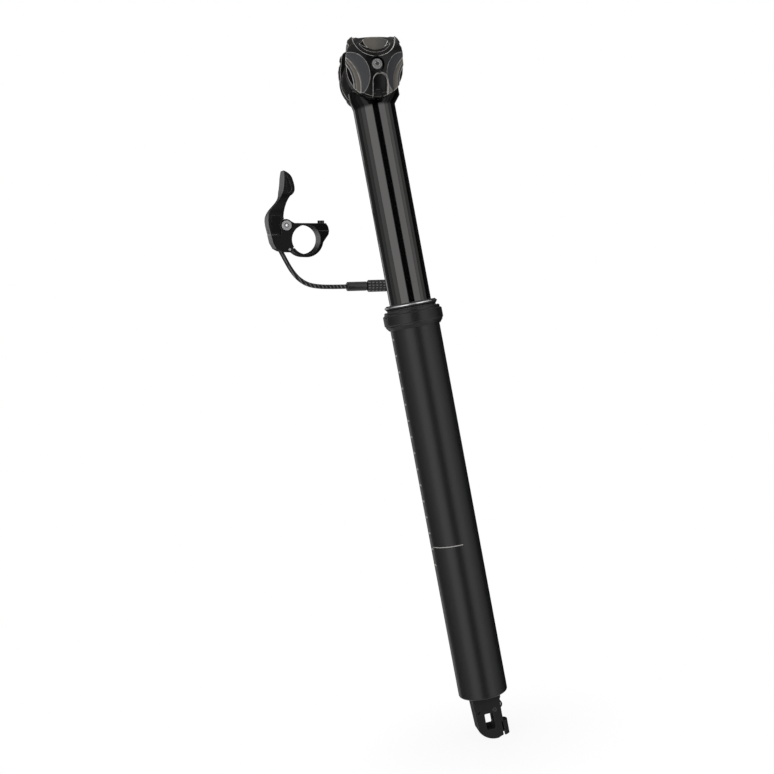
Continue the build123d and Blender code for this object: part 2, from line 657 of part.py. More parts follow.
with BuildPart() as clamp_cross_bolt:
    cross_disc(CLAMP, (0, 0), BOLT_R, POCKET_FLOOR + WASHER, -POCKET_FLOOR - WASHER - NUT - AIR)
    cross_disc(CLAMP, (0, 0), BOLT_HEAD_R, POCKET_FLOOR + WASHER + BOLT_HEAD, POCKET_FLOOR + WASHER)
    chamfer(clamp_cross_bolt.faces().sort_by(Axis.Y)[0].edges(), PLATE_EDGE)
    with BuildSketch(CLAMP.offset(POCKET_FLOOR + WASHER + BOLT_HEAD - BOLT_SOCKET_DEPTH)):
        RegularPolygon(BOLT_SOCKET_R, 6)
    extrude(amount=BOLT_SOCKET_DEPTH + OVERRUN, mode=Mode.SUBTRACT)
save(clamp_cross_bolt, "clamp_cross_bolt")

with BuildPart() as clamp_washers:
    for face, far in ((POCKET_FLOOR + WASHER, POCKET_FLOOR), (-POCKET_FLOOR, -POCKET_FLOOR - WASHER)):
        cross_disc(CLAMP, (0, 0), WASHER_R, face, far)
        cross_disc(CLAMP, (0, 0), BOLT_R, face + OVERRUN, far - OVERRUN, mode=Mode.SUBTRACT)
save(clamp_washers, "clamp_washers")

with BuildPart() as clamp_nut:
    with BuildSketch(CLAMP.offset(-POCKET_FLOOR - WASHER - NUT)):
        RegularPolygon(NUT_R, 6)
        Circle(BOLT_R, mode=Mode.SUBTRACT)
    extrude(amount=NUT)
save(clamp_nut, "clamp_nut")

# Actuator: a yoke under the foot plug, open to the right and through its middle, with the stop for
# the cable housing at its foot
FRAME_FOOT = PLUG_FOOT - FRAME_HEIGHT
PIVOT_Z = PLUG_FOOT - PIVOT_DROP
WINDOW_Z = PLUG_FOOT - WINDOW_DROP
SIDE = Plane(origin=(0, 0, PLUG_FOOT), x_dir=(1, 0, 0), z_dir=(0, -1, 0))
FRAME_SIDE = FRAME_DEPTH / 2
PIVOT = (PIVOT_X, -PIVOT_DROP)
NIPPLE = (NIPPLE_X, NIPPLE_RISE - PIVOT_DROP)
NOSE = (0, NOSE_RISE - NOSE_R - PIVOT_DROP)


def upright(x, radius, bottom, height, mode=Mode.ADD):
    """a round that stands beside the post's axis"""
    with BuildSketch(Plane.XY.offset(bottom)) as section:
        with Locations((x, 0)):
            Circle(radius)
    extrude(section.sketch, amount=height, mode=mode)


with BuildPart() as actuator_frame:
    with BuildSketch(SIDE.offset(-FRAME_SIDE)):
        with BuildLine():
            edge = scaled(FRAME_SHARES, FRAME_HEIGHT)
            Polyline(*edge)
            ThreePointArc(edge[-1], scaled([FRAME_FOOT_SHARES], FRAME_HEIGHT)[0], edge[0])
        make_face()
    extrude(amount=FRAME_DEPTH)
    upright(NIPPLE_X, CUP_R, FRAME_FOOT, CUP_HEIGHT)
    # the rod's tail and the valve pin below it
    disc(ROD_R, ROD_FOOT, ROD_TAIL + OVERRUN, mode=Mode.SUBTRACT)
    disc(VALVE_R + AIR, PIVOT_Z, ROD_FOOT - PIVOT_Z + OVERRUN, mode=Mode.SUBTRACT)
    # the slot that the rocker swings in
    with BuildSketch(Plane.XY.offset(FRAME_FOOT + CUP_HEIGHT)):
        with Locations((-WINDOW_WIDTH / 2, 0)):
            Rectangle(FRAME_HEIGHT, ROCKER_SLOT, align=(Align.MIN, Align.CENTER))
    extrude(amount=PIVOT_Z + ROCKER_SLOT_RISE - FRAME_FOOT - CUP_HEIGHT, mode=Mode.SUBTRACT)
    # the window through both cheeks
    with BuildSketch(SIDE.offset(-FRAME_DEPTH)):
        with Locations((0, -WINDOW_DROP)):
            RectangleRounded(WINDOW_WIDTH, WINDOW_HEIGHT, WINDOW_EDGE)
    extrude(amount=2 * FRAME_DEPTH, mode=Mode.SUBTRACT)
    cross_disc(SIDE, PIVOT, PIVOT_R, FRAME_DEPTH, -FRAME_DEPTH, mode=Mode.SUBTRACT)
    cross_disc(SIDE, (FRAME_SCREW_X, -PIVOT_DROP), FRAME_SCREW_R, FRAME_DEPTH, -FRAME_DEPTH,
               mode=Mode.SUBTRACT)
    # the stop for the housing: a bore from below, the wire's hole and the slot that lets the wire in
    upright(NIPPLE_X, CUP_BORE_R, FRAME_FOOT - OVERRUN, CUP_BORE + OVERRUN, mode=Mode.SUBTRACT)
    upright(NIPPLE_X, WIRE_HOLE_R, FRAME_FOOT, CUP_HEIGHT + OVERRUN, mode=Mode.SUBTRACT)
    with BuildSketch(Plane.XY.offset(FRAME_FOOT - OVERRUN)):
        with Locations((NIPPLE_X, 0)):
            Rectangle(WIRE_SLOT, FRAME_DEPTH, align=(Align.CENTER, Align.MAX))
    extrude(amount=CUP_HEIGHT + 2 * OVERRUN, mode=Mode.SUBTRACT)
save(actuator_frame, "actuator_frame")

with BuildPart() as actuator_pivot_pin:
    cross_disc(SIDE, PIVOT, PIVOT_R, FRAME_SIDE, -FRAME_SIDE)
save(actuator_pivot_pin, "actuator_pivot_pin")

with BuildPart() as frame_screw:
    cross_disc(SIDE, (FRAME_SCREW_X, -PIVOT_DROP), FRAME_SCREW_R, FRAME_SIDE - FRAME_SCREW_RECESS,
               -FRAME_SIDE)
save(frame_screw, "frame_screw")

# Rocker: the cable pulls its eye down, and its nose lifts the valve pin
with BuildPart() as rocker:
    with BuildSketch(SIDE.offset(-ROCKER_WIDTH / 2)):
        with BuildLine():
            Polyline(
                (NOSE[0], NOSE[1] + NOSE_R),
                (PIVOT[0], PIVOT[1] + ROCKER_HUB_R),
                (NIPPLE[0], NIPPLE[1] + NIPPLE_EYE_R),
                (NIPPLE[0], NIPPLE[1] - NIPPLE_EYE_R),
                (PIVOT[0], PIVOT[1] - ROCKER_HUB_R),
                (NOSE[0], NOSE[1] - NOSE_R),
                close=True,
            )
        make_face()
        with Locations(PIVOT):
            Circle(ROCKER_HUB_R)
        with Locations(NIPPLE):
            Circle(NIPPLE_EYE_R)
        with Locations(NOSE):
            Circle(NOSE_R)
    extrude(amount=ROCKER_WIDTH)
    cross_disc(SIDE, PIVOT, PIVOT_R + RUNNING, ROCKER_WIDTH, -ROCKER_WIDTH, mode=Mode.SUBTRACT)
    cross_disc(SIDE, NIPPLE, NIPPLE_R, ROCKER_WIDTH, -ROCKER_WIDTH, mode=Mode.SUBTRACT)
    with BuildSketch(Plane.XY.offset(PIVOT_Z + NIPPLE_RISE - NIPPLE_EYE_R - OVERRUN)):
        with Locations((NIPPLE_X, 0)):
            Rectangle(WIRE_SLOT, WIRE_SLOT)
    extrude(amount=2 * (NIPPLE_EYE_R + OVERRUN), mode=Mode.SUBTRACT)
save(rocker, "rocker")

# Rocker's nipple: a cross drum with the wire's hole, and the grub screw that grips the wire
with BuildPart() as rocker_nipple:
    cross_disc(SIDE, NIPPLE, NIPPLE_R, ROCKER_WIDTH / 2, -ROCKER_WIDTH / 2)
    upright(NIPPLE_X, WIRE_R + RUNNING, PIVOT_Z + NIPPLE_RISE - NIPPLE_R - OVERRUN,
            2 * (NIPPLE_R + OVERRUN), mode=Mode.SUBTRACT)
    cross_disc(SIDE, NIPPLE, GRUB_R, ROCKER_WIDTH, WIRE_R, mode=Mode.SUBTRACT)
save(rocker_nipple, "rocker_nipple")

with BuildPart() as nipple_grub_screw:
    cross_disc(SIDE, NIPPLE, GRUB_R, ROCKER_WIDTH / 2, WIRE_R)
save(nipple_grub_screw, "nipple_grub_screw")

# Valve pin in the rod's bore, from the rocker's nose up to the cartridge's valve
VALVE_FOOT = PIVOT_Z + NOSE_RISE + AIR
with BuildPart() as valve_pin:
    disc(VALVE_R, VALVE_FOOT, PISTON_FOOT + PISTON - VALVE_TAIL - VALVE_FOOT)
save(valve_pin, "valve_pin")

# Handlebar remote, drawn in its own upright plane: right, up, and out towards the rider
REMOTE = Plane(origin=REMOTE_AT, x_dir=REMOTE_RIGHT, z_dir=REMOTE_FACE)
REMOTE_SIDE = REMOTE_WIDTH / 2
LEVER_SIDE = LEVER_WIDTH / 2
PADDLE_SIDE = PADDLE_WIDTH / 2
NECK_SIDE = NECK_WIDTH / 2
HUB_SIDE = LEVER_HUB_WIDTH / 2
KNUCKLE_SIDE = HINGE_KNUCKLE / 2
STRAP_TOP = BODY_SHARES[0][1] * BAR_R
BOLT_SEAT = Plane(origin=REMOTE.from_local_coords((BAND_BOLT_X, STRAP_TOP, 0)), z_dir=REMOTE.y_dir)
LEVER_NIPPLE_AT = (LEVER_AT[0] + LEVER_NIPPLE_SHARES[0] * LEVER_REACH,
                   LEVER_AT[1] + LEVER_NIPPLE_SHARES[1] * LEVER_REACH)


def in_space(at):
    """a point of the remote's middle plane, in the post's frame"""
    return REMOTE.from_local_coords((at[0], at[1], 0))


def along(start, end):
    """the plane at one point of the remote whose normal runs to another"""
    return Plane(origin=in_space(start), z_dir=in_space(end) - in_space(start))


def slab(shares, side):
    """a straight-edged slab of the remote, as thick on each side of its middle plane"""
    with BuildSketch(REMOTE.offset(-side)) as section:
        with BuildLine() as outline:
            Polyline(*scaled(shares, BAR_R), close=True)
        make_face(outline.edges())
    extrude(section.sketch, amount=2 * side)


def rod(plane, radius, near, far, inner=0, mode=Mode.ADD):
    """a round, or a sleeve, along a plane's normal"""
    with BuildSketch(plane.offset(far)) as section:
        Circle(radius)
        if inner:
            Circle(inner, mode=Mode.SUBTRACT)
    extrude(section.sketch, amount=near - far, mode=mode)


SOCKET = along(ROUTE[0], ROUTE[1])
WIRE_WAY = along(ROUTE[0], LEVER_NIPPLE_AT)
BODY_RISE = BODY_SHARES[13][1] * BAR_R  # the edge of the body under the lever
WIRE_RISE = (BODY_RISE - ROUTE[0][1]) / (in_space(LEVER_NIPPLE_AT) - in_space(ROUTE[0])).normalized().dot(
    REMOTE.y_dir)

with BuildPart() as remote_body:
    slab(BODY_SHARES, REMOTE_SIDE)
    cross_disc(REMOTE, LEVER_AT, CHEEK_R, REMOTE_SIDE, -REMOTE_SIDE)
    cross_disc(REMOTE, HINGE_AT, HINGE_EYE_R, REMOTE_SIDE, -REMOTE_SIDE)
    rod(REMOTE, BAR_R, REMOTE_WIDTH, -REMOTE_WIDTH, mode=Mode.SUBTRACT)
    # the slot between the cheeks, and the bolt's hole through them
    cross_disc(REMOTE, LEVER_AT, CHEEK_R + AIR, CHEEK_SLOT / 2, -CHEEK_SLOT / 2, mode=Mode.SUBTRACT)
    cross_disc(REMOTE, LEVER_AT, LEVER_BOLT_R, REMOTE_WIDTH, -REMOTE_WIDTH, mode=Mode.SUBTRACT)
    # the recess for the band's knuckle, and the hinge pin's hole
    cross_disc(REMOTE, HINGE_AT, HINGE_EYE_R + AIR, KNUCKLE_SIDE + AIR, -KNUCKLE_SIDE - AIR,
               mode=Mode.SUBTRACT)
    cross_disc(REMOTE, HINGE_AT, HINGE_PIN_R, REMOTE_WIDTH, -REMOTE_WIDTH, mode=Mode.SUBTRACT)
    # the band bolt's hole, the housing's socket and the wire's way up to the lever
    rod(BOLT_SEAT, BAND_BOLT_R + RUNNING, OVERRUN, -BAND_BOLT_LENGTH, mode=Mode.SUBTRACT)
    rod(SOCKET, HOUSING_R + SOCKET_CLEARANCE, BAR_R, 0, mode=Mode.SUBTRACT)
    rod(WIRE_WAY, HOUSING_BORE_R, 2 * BAR_R, 0, mode=Mode.SUBTRACT)
save(remote_body, "remote_body")

with BuildPart() as clamp_band:
    rod(REMOTE, BAR_R + BAND_WALL, REMOTE_SIDE, -REMOTE_SIDE)
    slab(BAND_LUG_SHARES, REMOTE_SIDE)
    with BuildSketch(REMOTE.offset(-REMOTE_WIDTH)):
        with BuildLine():
            Polyline(*scaled(BAND_ZONE_SHARES, BAR_R), close=True)
        make_face()
    extrude(amount=2 * REMOTE_WIDTH, mode=Mode.INTERSECT)
    cross_disc(REMOTE, HINGE_AT, HINGE_EYE_R + AIR, REMOTE_WIDTH, KNUCKLE_SIDE, mode=Mode.SUBTRACT)
    cross_disc(REMOTE, HINGE_AT, HINGE_EYE_R + AIR, -KNUCKLE_SIDE, -REMOTE_WIDTH, mode=Mode.SUBTRACT)
    cross_disc(REMOTE, HINGE_AT, HINGE_EYE_R, KNUCKLE_SIDE, -KNUCKLE_SIDE)
    rod(REMOTE, BAR_R, REMOTE_WIDTH, -REMOTE_WIDTH, mode=Mode.SUBTRACT)
    cross_disc(REMOTE, HINGE_AT, HINGE_PIN_R, REMOTE_WIDTH, -REMOTE_WIDTH, mode=Mode.SUBTRACT)
    rod(BOLT_SEAT, BAND_BOLT_R, OVERRUN, -BAND_BOLT_LENGTH, mode=Mode.SUBTRACT)
save(clamp_band, "clamp_band")

with BuildPart() as clamp_hinge_pin:
    cross_disc(REMOTE, HINGE_AT, HINGE_PIN_R, REMOTE_SIDE, -REMOTE_SIDE)
save(clamp_hinge_pin, "clamp_hinge_pin")

with BuildPart() as clamp_band_bolt:
    rod(BOLT_SEAT, BAND_BOLT_R, 0, -BAND_BOLT_LENGTH)
    rod(BOLT_SEAT, BAND_BOLT_HEAD_R, BAND_BOLT_HEAD, 0)
    with BuildSketch(BOLT_SEAT.offset(BAND_BOLT_HEAD - BAND_SOCKET_DEPTH)):
        RegularPolygon(BAND_SOCKET_R, 6)
    extrude(amount=BAND_SOCKET_DEPTH + OVERRUN, mode=Mode.SUBTRACT)
save(clamp_band_bolt, "clamp_band_bolt")


def from_pivot(shares):
    """points of the lever from its shares, placed at its pivot"""
    return [(LEVER_AT[0] + u, LEVER_AT[1] + v) for u, v in scaled(shares, LEVER_REACH)]


BLADE_EDGE = Plane(origin=in_space(LEVER_AT), x_dir=REMOTE.y_dir, z_dir=REMOTE.x_dir)


def half_widths(side):
    """the straight edge of the lobe and hub, on one side of the blade's middle"""
    return [(-LEVER_REACH, side * LEVER_SIDE), (PADDLE_SHARES[0] * LEVER_REACH, side * LEVER_SIDE)]


def paddle(side):
    """the curved edge of the neck and the thumb's paddle, on one side of the blade's middle"""
    widths = (LEVER_SIDE, NECK_SIDE, NECK_SIDE, PADDLE_SIDE, PADDLE_SIDE, PADDLE_TIP_SHARE * PADDLE_SIDE)
    return [(share * LEVER_REACH, side * width) for share, width in zip(PADDLE_SHARES, widths)]


CAP_FLOOR = LEVER_SIDE - LEVER_CAP_DEPTH
SPRING_POCKET_R = LEVER_SPRING_R + LEVER_SPRING_WIRE_R + AIR
BUSH_R = LEVER_BOLT_R + RUNNING + BUSH_WALL

# Thumb lever: a broad blade on a narrow hub between the cheeks, with the wire's nipple in its lobe
with BuildPart() as lever:
    with BuildSketch(REMOTE.offset(-PADDLE_SIDE)):
        with BuildLine():
            Spline(*from_pivot(BLADE_RIGHT_SHARES))
            Spline(*from_pivot(BLADE_NECK_SHARES))
            Polyline(*from_pivot(BLADE_INNER_SHARES))
            Spline(*from_pivot(BLADE_LEFT_SHARES))
        make_face()
    extrude(amount=PADDLE_WIDTH)
    with BuildSketch(BLADE_EDGE):
        with BuildLine():
            Polyline(*half_widths(1))
            Spline(*paddle(1))
            Polyline(paddle(1)[-1], paddle(-1)[-1])
            Spline(*paddle(-1))
            Polyline(*half_widths(-1))
            Polyline(half_widths(-1)[0], half_widths(1)[0])
        make_face()
    extrude(amount=LEVER_REACH, both=True, mode=Mode.INTERSECT)
    for near, far in ((LEVER_WIDTH, HUB_SIDE), (-HUB_SIDE, -LEVER_WIDTH)):
        cross_disc(REMOTE, LEVER_AT, CHEEK_R + AIR, near, far, mode=Mode.SUBTRACT)
    cross_disc(REMOTE, LEVER_AT, LEVER_HUB_R, HUB_SIDE, -HUB_SIDE)
    cross_disc(REMOTE, LEVER_AT, BUSH_R, LEVER_WIDTH, -LEVER_WIDTH, mode=Mode.SUBTRACT)
    cross_disc(REMOTE, LEVER_AT, SPRING_POCKET_R, LEVER_SPRING_POCKET - HUB_SIDE, -LEVER_WIDTH,
               mode=Mode.SUBTRACT)
    with BuildSketch(REMOTE.offset(PADDLE_SIDE - BLADE_POCKET_DEPTH)):
        with BuildLine():
            Spline(*from_pivot(BLADE_POCKET_SHARES), periodic=True)
        make_face()
    extrude(amount=BLADE_POCKET_DEPTH + OVERRUN, mode=Mode.SUBTRACT)
    # the nipple's hole, the slot for its wire and the cap's seat
    cross_disc(REMOTE, LEVER_NIPPLE_AT, LEVER_NIPPLE_R, LEVER_WIDTH, -LEVER_NIPPLE_LENGTH / 2,
               mode=Mode.SUBTRACT)
    with BuildSketch(REMOTE.offset(-WIRE_HOLE_R)):
        with Locations(LEVER_NIPPLE_AT):
            Rectangle(LEVER_NIPPLE_SLOT, LEVER_REACH, align=(Align.CENTER, Align.MAX))
    extrude(amount=2 * WIRE_HOLE_R, mode=Mode.SUBTRACT)
    with BuildSketch(REMOTE.offset(CAP_FLOOR)):
        with Locations(from_pivot([LEVER_CAP_SHARES])[0]):
            Rectangle(LEVER_CAP_WIDTH, LEVER_CAP_LENGTH)
    extrude(amount=LEVER_CAP_DEPTH + OVERRUN, mode=Mode.SUBTRACT)
save(lever, "lever")

with BuildPart() as lever_cap:
    with BuildSketch(REMOTE.offset(CAP_FLOOR)):
        with Locations(from_pivot([LEVER_CAP_SHARES])[0]):
            Rectangle(LEVER_CAP_WIDTH, LEVER_CAP_LENGTH)
    extrude(amount=LEVER_CAP_DEPTH + LEVER_CAP_PROUD)
    cross_disc(REMOTE, LEVER_AT, CHEEK_R + AIR, LEVER_WIDTH, 0, mode=Mode.SUBTRACT)
save(lever_cap, "lever_cap")

with BuildPart() as lever_bush:
    cross_disc(REMOTE, LEVER_AT, BUSH_R, HUB_SIDE, -HUB_SIDE)
    cross_disc(REMOTE, LEVER_AT, LEVER_BOLT_R + RUNNING, LEVER_WIDTH, -LEVER_WIDTH, mode=Mode.SUBTRACT)
save(lever_bush, "lever_bush")

# The nipple and the last of the wire, which ends where the lever's slot does
NIPPLE_WAY = along(LEVER_NIPPLE_AT, ROUTE[0])
LOBE_FOOT = LEVER_AT[1] + BLADE_INNER_SHARES[-1][1] * LEVER_REACH
with BuildPart() as lever_nipple:
    cross_disc(REMOTE, LEVER_NIPPLE_AT, LEVER_NIPPLE_R, LEVER_NIPPLE_LENGTH / 2, -LEVER_NIPPLE_LENGTH / 2)
    rod(NIPPLE_WAY, WIRE_R, LEVER_NIPPLE_AT[1] - LOBE_FOOT, 0)
save(lever_nipple, "lever_nipple")

with BuildPart() as lever_bolt:
    cross_disc(REMOTE, LEVER_AT, LEVER_BOLT_R, REMOTE_SIDE, -REMOTE_SIDE - LEVER_NUT - AIR)
    cross_disc(REMOTE, LEVER_AT, LEVER_BOLT_HEAD_R, REMOTE_SIDE + LEVER_BOLT_HEAD, REMOTE_SIDE)
    with BuildSketch(REMOTE.offset(REMOTE_SIDE + LEVER_BOLT_HEAD - LEVER_SOCKET_DEPTH)):
        with Locations(LEVER_AT):
            RegularPolygon(LEVER_SOCKET_R, 6)
    extrude(amount=LEVER_SOCKET_DEPTH + OVERRUN, mode=Mode.SUBTRACT)
save(lever_bolt, "lever_bolt")

with BuildPart() as lever_nut:
    with BuildSketch(REMOTE.offset(-REMOTE_SIDE - LEVER_NUT)):
        with Locations(LEVER_AT):
            RegularPolygon(LEVER_NUT_R, 6)
            Circle(LEVER_BOLT_R, mode=Mode.SUBTRACT)
    extrude(amount=LEVER_NUT)
save(lever_nut, "lever_nut")

# Return spring round the bush, in the back of the hub
LEVER_PIVOT = Plane(origin=in_space(LEVER_AT), x_dir=REMOTE_RIGHT, z_dir=REMOTE_FACE)
with BuildPart() as lever_spring:
    coil(LEVER_SPRING_R, LEVER_SPRING_WIRE_R, LEVER_SPRING_WIRE_R + RUNNING - CHEEK_SLOT / 2,
         LEVER_SPRING_POCKET - 2 * LEVER_SPRING_WIRE_R, LEVER_SPRING_TURNS, centre=LEVER_PIVOT)
save(lever_spring, "lever_spring")

# Cable: housing, the wire through it, and the ferrule and knurled adjuster on its end
turns = [Vector(*after) - Vector(*at) for at, after in zip(ROUTE, ROUTE[1:])]
BENDS = [
    ROUTE_RADIUS_SHARE * min(before.length, after.length) / tan(radians(before.get_angle(after) / 2))
    for before, after in zip(turns, turns[1:])
]
print("bend radii of the housing:", ", ".join(f"{bend:.1f}" for bend in BENDS))
FERRULE_AT = along(ROUTE[-1], (ROUTE[-1][0] + turns[-1].X, ROUTE[-1][1] + turns[-1].Y))
ADJUSTER_FOOT = FERRULE_LENGTH + AIR
ADJUSTER_TOP = ADJUSTER_FOOT + ADJUSTER_LENGTH


def housing_path():
    """the line down the middle of the housing"""
    with BuildLine() as path:
        FilletPolyline(*[in_space(at) for at in ROUTE], radius=BENDS)
    return path.wire()


with BuildPart() as cable_housing:
    with BuildSketch(SOCKET) as section:
        Circle(HOUSING_R)
        Circle(HOUSING_BORE_R, mode=Mode.SUBTRACT)
    sweep(section.sketch, path=housing_path())
save(cable_housing, "cable_housing")

with BuildPart() as inner_cable:
    with BuildSketch(SOCKET) as section:
        Circle(WIRE_R)
    sweep(section.sketch, path=housing_path())
    rod(WIRE_WAY, WIRE_R, WIRE_RISE, 0)
    rod(FERRULE_AT, WIRE_R, ADJUSTER_TOP + WIRE_TAIL, 0)
save(inner_cable, "inner_cable")

with BuildPart() as cable_ferrule:
    rod(FERRULE_AT, FERRULE_R, FERRULE_LENGTH, 0)
    chamfer(cable_ferrule.edges(), FERRULE_EDGE)
    rod(FERRULE_AT, FERRULE_SPIGOT_R, FERRULE_LENGTH + FERRULE_SPIGOT, FERRULE_LENGTH)
    rod(FERRULE_AT, HOUSING_BORE_R, 2 * FERRULE_LENGTH, -OVERRUN, mode=Mode.SUBTRACT)
save(cable_ferrule, "cable_ferrule")

with BuildPart() as barrel_adjuster:
    rod(FERRULE_AT, ADJUSTER_R, ADJUSTER_TOP, ADJUSTER_FOOT)
    chamfer(barrel_adjuster.edges(), ADJUSTER_EDGE)
    with BuildSketch(FERRULE_AT.offset(ADJUSTER_FOOT)):
        with PolarLocations(ADJUSTER_R, ADJUSTER_GROOVES):
            Circle(ADJUSTER_GROOVE_R)
    extrude(amount=ADJUSTER_LENGTH, mode=Mode.SUBTRACT)
    rod(FERRULE_AT, FERRULE_SPIGOT_R + RUNNING, FERRULE_LENGTH + FERRULE_SPIGOT + AIR, FERRULE_LENGTH,
        mode=Mode.SUBTRACT)
    rod(FERRULE_AT, HOUSING_BORE_R, ADJUSTER_TOP + OVERRUN, FERRULE_LENGTH, mode=Mode.SUBTRACT)
save(barrel_adjuster, "barrel_adjuster")

with BuildPart() as wire_crimp:
    rod(FERRULE_AT, CRIMP_R, ADJUSTER_TOP + WIRE_TAIL, ADJUSTER_TOP + WIRE_TAIL - CRIMP, inner=WIRE_R)
save(wire_crimp, "wire_crimp")

housing_length = housing_path().length
housing_section = pi * (HOUSING_R * HOUSING_R - HOUSING_BORE_R * HOUSING_BORE_R)
print(f"housing: {housing_length:.1f} mm, volume {cable_housing.part.volume:.1f}, "
      f"section times length {housing_section * housing_length:.1f}")
for name, wire, pitch in (
    ("suspension spring", SPRING_WIRE_R, (SPRING_TOP - SPRING_FOOT - 2 * (SPRING_WIRE_R + AIR)) / SPRING_TURNS),
    ("lever spring", LEVER_SPRING_WIRE_R, (LEVER_SPRING_POCKET - 2 * LEVER_SPRING_WIRE_R) / LEVER_SPRING_TURNS),
):
    print(f"least gap between the turns of the {name}: {pitch - 2 * wire:.2f} mm")
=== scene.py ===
import json
from math import atan2, cos, degrees, pi, radians, sin, tan

import bmesh
import bpy
from mathutils import Matrix, Vector


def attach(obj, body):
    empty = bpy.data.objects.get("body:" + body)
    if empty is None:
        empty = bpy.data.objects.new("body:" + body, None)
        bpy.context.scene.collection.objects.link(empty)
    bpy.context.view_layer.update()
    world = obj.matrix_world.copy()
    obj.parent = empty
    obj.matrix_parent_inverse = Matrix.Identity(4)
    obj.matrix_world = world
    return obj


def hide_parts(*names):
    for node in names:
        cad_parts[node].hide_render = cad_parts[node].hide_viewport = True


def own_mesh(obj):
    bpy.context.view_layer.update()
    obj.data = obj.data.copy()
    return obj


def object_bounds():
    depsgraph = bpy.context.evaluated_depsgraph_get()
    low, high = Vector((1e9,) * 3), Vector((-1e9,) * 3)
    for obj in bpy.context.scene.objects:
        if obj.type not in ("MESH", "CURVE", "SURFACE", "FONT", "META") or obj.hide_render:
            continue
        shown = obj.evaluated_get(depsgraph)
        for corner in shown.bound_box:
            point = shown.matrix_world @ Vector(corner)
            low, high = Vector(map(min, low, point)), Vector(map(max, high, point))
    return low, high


# Dropper seatpost and its remote, in metres: Z is the post's axis, from the underside of its collar up
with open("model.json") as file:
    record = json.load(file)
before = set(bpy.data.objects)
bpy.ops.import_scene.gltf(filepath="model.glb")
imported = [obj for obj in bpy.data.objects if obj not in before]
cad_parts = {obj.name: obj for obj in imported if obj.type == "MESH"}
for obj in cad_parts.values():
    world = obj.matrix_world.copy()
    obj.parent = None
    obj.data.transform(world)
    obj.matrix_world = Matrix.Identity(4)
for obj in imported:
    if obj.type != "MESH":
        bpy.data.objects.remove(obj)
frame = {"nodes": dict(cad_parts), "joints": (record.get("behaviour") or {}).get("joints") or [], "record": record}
CAD_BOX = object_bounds()
NODES = frame["nodes"]
JOINTS = {joint["name"]: joint for joint in frame["joints"]}
MOUNTS = {mount["name"]: mount for mount in frame["record"]["mounts"]}
SLOT_OF = {row["node"]: row["material_slot"] for row in frame["record"]["subparts"]}
MM = 0.001

# Camera: where the photograph was taken from, with its upright leaning off the post's
CAMERA_AT = Vector((-0.1358, -0.7778, 0.0108))
CAMERA_AHEAD = Vector((0.138, 0.9885, -0.0614))
CAMERA_UP = Vector((0.1921, 0.0341, 0.9808))
CAMERA_AZIMUTH = degrees(atan2(CAMERA_AT.y, CAMERA_AT.x))  # round the post, from +X
PHOTO_SIDE = 774  # pixels
FOCAL_LENGTH = 1129  # pixels
SENSOR_MM = 36.0


def add_object(name, data):
    """a new object in the scene"""
    thing = bpy.data.objects.new(name, data)
    bpy.context.scene.collection.objects.link(thing)
    return thing


def make_camera():
    """the camera at the photograph's place"""
    camera = add_object("camera", bpy.data.cameras.new("camera"))
    ahead = CAMERA_AHEAD.normalized()
    right = ahead.cross(CAMERA_UP).normalized()
    up = right.cross(ahead)
    turn = Matrix((right, up, -ahead)).transposed().to_4x4()
    camera.matrix_world = Matrix.Translation(CAMERA_AT) @ turn
    camera.data.sensor_width = SENSOR_MM
    camera.data.lens = FOCAL_LENGTH / PHOTO_SIDE * SENSOR_MM
    camera.data.clip_start = 0.01
    camera.data.clip_end = 20
    bpy.context.scene.camera = camera


# Remote: the plane in which it lies with its cable, square to the handlebar
REMOTE_AT = Vector(MOUNTS["handlebar_clamp"]["pos_m"])
REMOTE_FACE = Vector(MOUNTS["handlebar_clamp"]["axis"])
REMOTE_RIGHT = Vector((0.9765, 0.1469, -0.1600))
REMOTE_UP = REMOTE_FACE.cross(REMOTE_RIGHT)


def in_remote(right, up):
    """a point of the remote's plane, right and up from its bar clamp, in millimetres"""
    return REMOTE_AT + (REMOTE_RIGHT * right + REMOTE_UP * up) * MM


# Node helpers
NOISE_DETAIL = 4.0
NOISE_ROUGHNESS = 0.55
NOISE_LOW = 0.35
NOISE_HIGH = 0.6
MIX_COLOUR_INPUTS = (6, 7)
MIX_COLOUR_OUTPUT = 2
BEVEL_SAMPLES = 8
EDGE_STARTS = 0.01  # an edge's normal turned off its face's, as 1 less the cosine
EDGE_FULL = 0.12


def grey(tone):
    """a colour without a hue"""
    return (tone, tone, tone)


def toned(colour, share):
    """a colour made darker or paler"""
    return tuple(share * part for part in colour)


def new_material(name):
    """an empty node material and its tree"""
    material = bpy.data.materials.new(name)
    material.use_nodes = True
    material.node_tree.nodes.clear()
    return material, material.node_tree


def socket(tree, node, name, value):
    """sets or links one input of a node"""
    if isinstance(value, bpy.types.NodeSocket):
        tree.links.new(value, node.inputs[name])
    else:
        node.inputs[name].default_value = value


def show(tree, shader, output="ShaderNodeOutputMaterial"):
    """links a shader to its tree's output"""
    tree.links.new(shader.outputs[0], tree.nodes.new(output).inputs["Surface"])


def coloured(tree, kind, colour):
    """a shader of one colour"""
    node = tree.nodes.new(kind)
    node.inputs["Color"].default_value = (*colour, 1.0)
    return node


def mix_shaders(tree, factor, one, other):
    """a mix of two shaders by a factor"""
    node = tree.nodes.new("ShaderNodeMixShader")
    tree.links.new(factor, node.inputs[0])
    tree.links.new(one.outputs[0], node.inputs[1])
    tree.links.new(other.outputs[0], node.inputs[2])
    return node


def math(tree, operation, *values):
    """one arithmetic step on numbers or sockets"""
    node = tree.nodes.new("ShaderNodeMath")
    node.operation = operation
    for at, value in enumerate(values):
        socket(tree, node, at, value)
    return node.outputs[0]


def times(tree, one, other):
    """the product of two values"""
    return math(tree, "MULTIPLY", one, other)


def minus(tree, one, other):
    """one value less another"""
    return math(tree, "SUBTRACT", one, other)


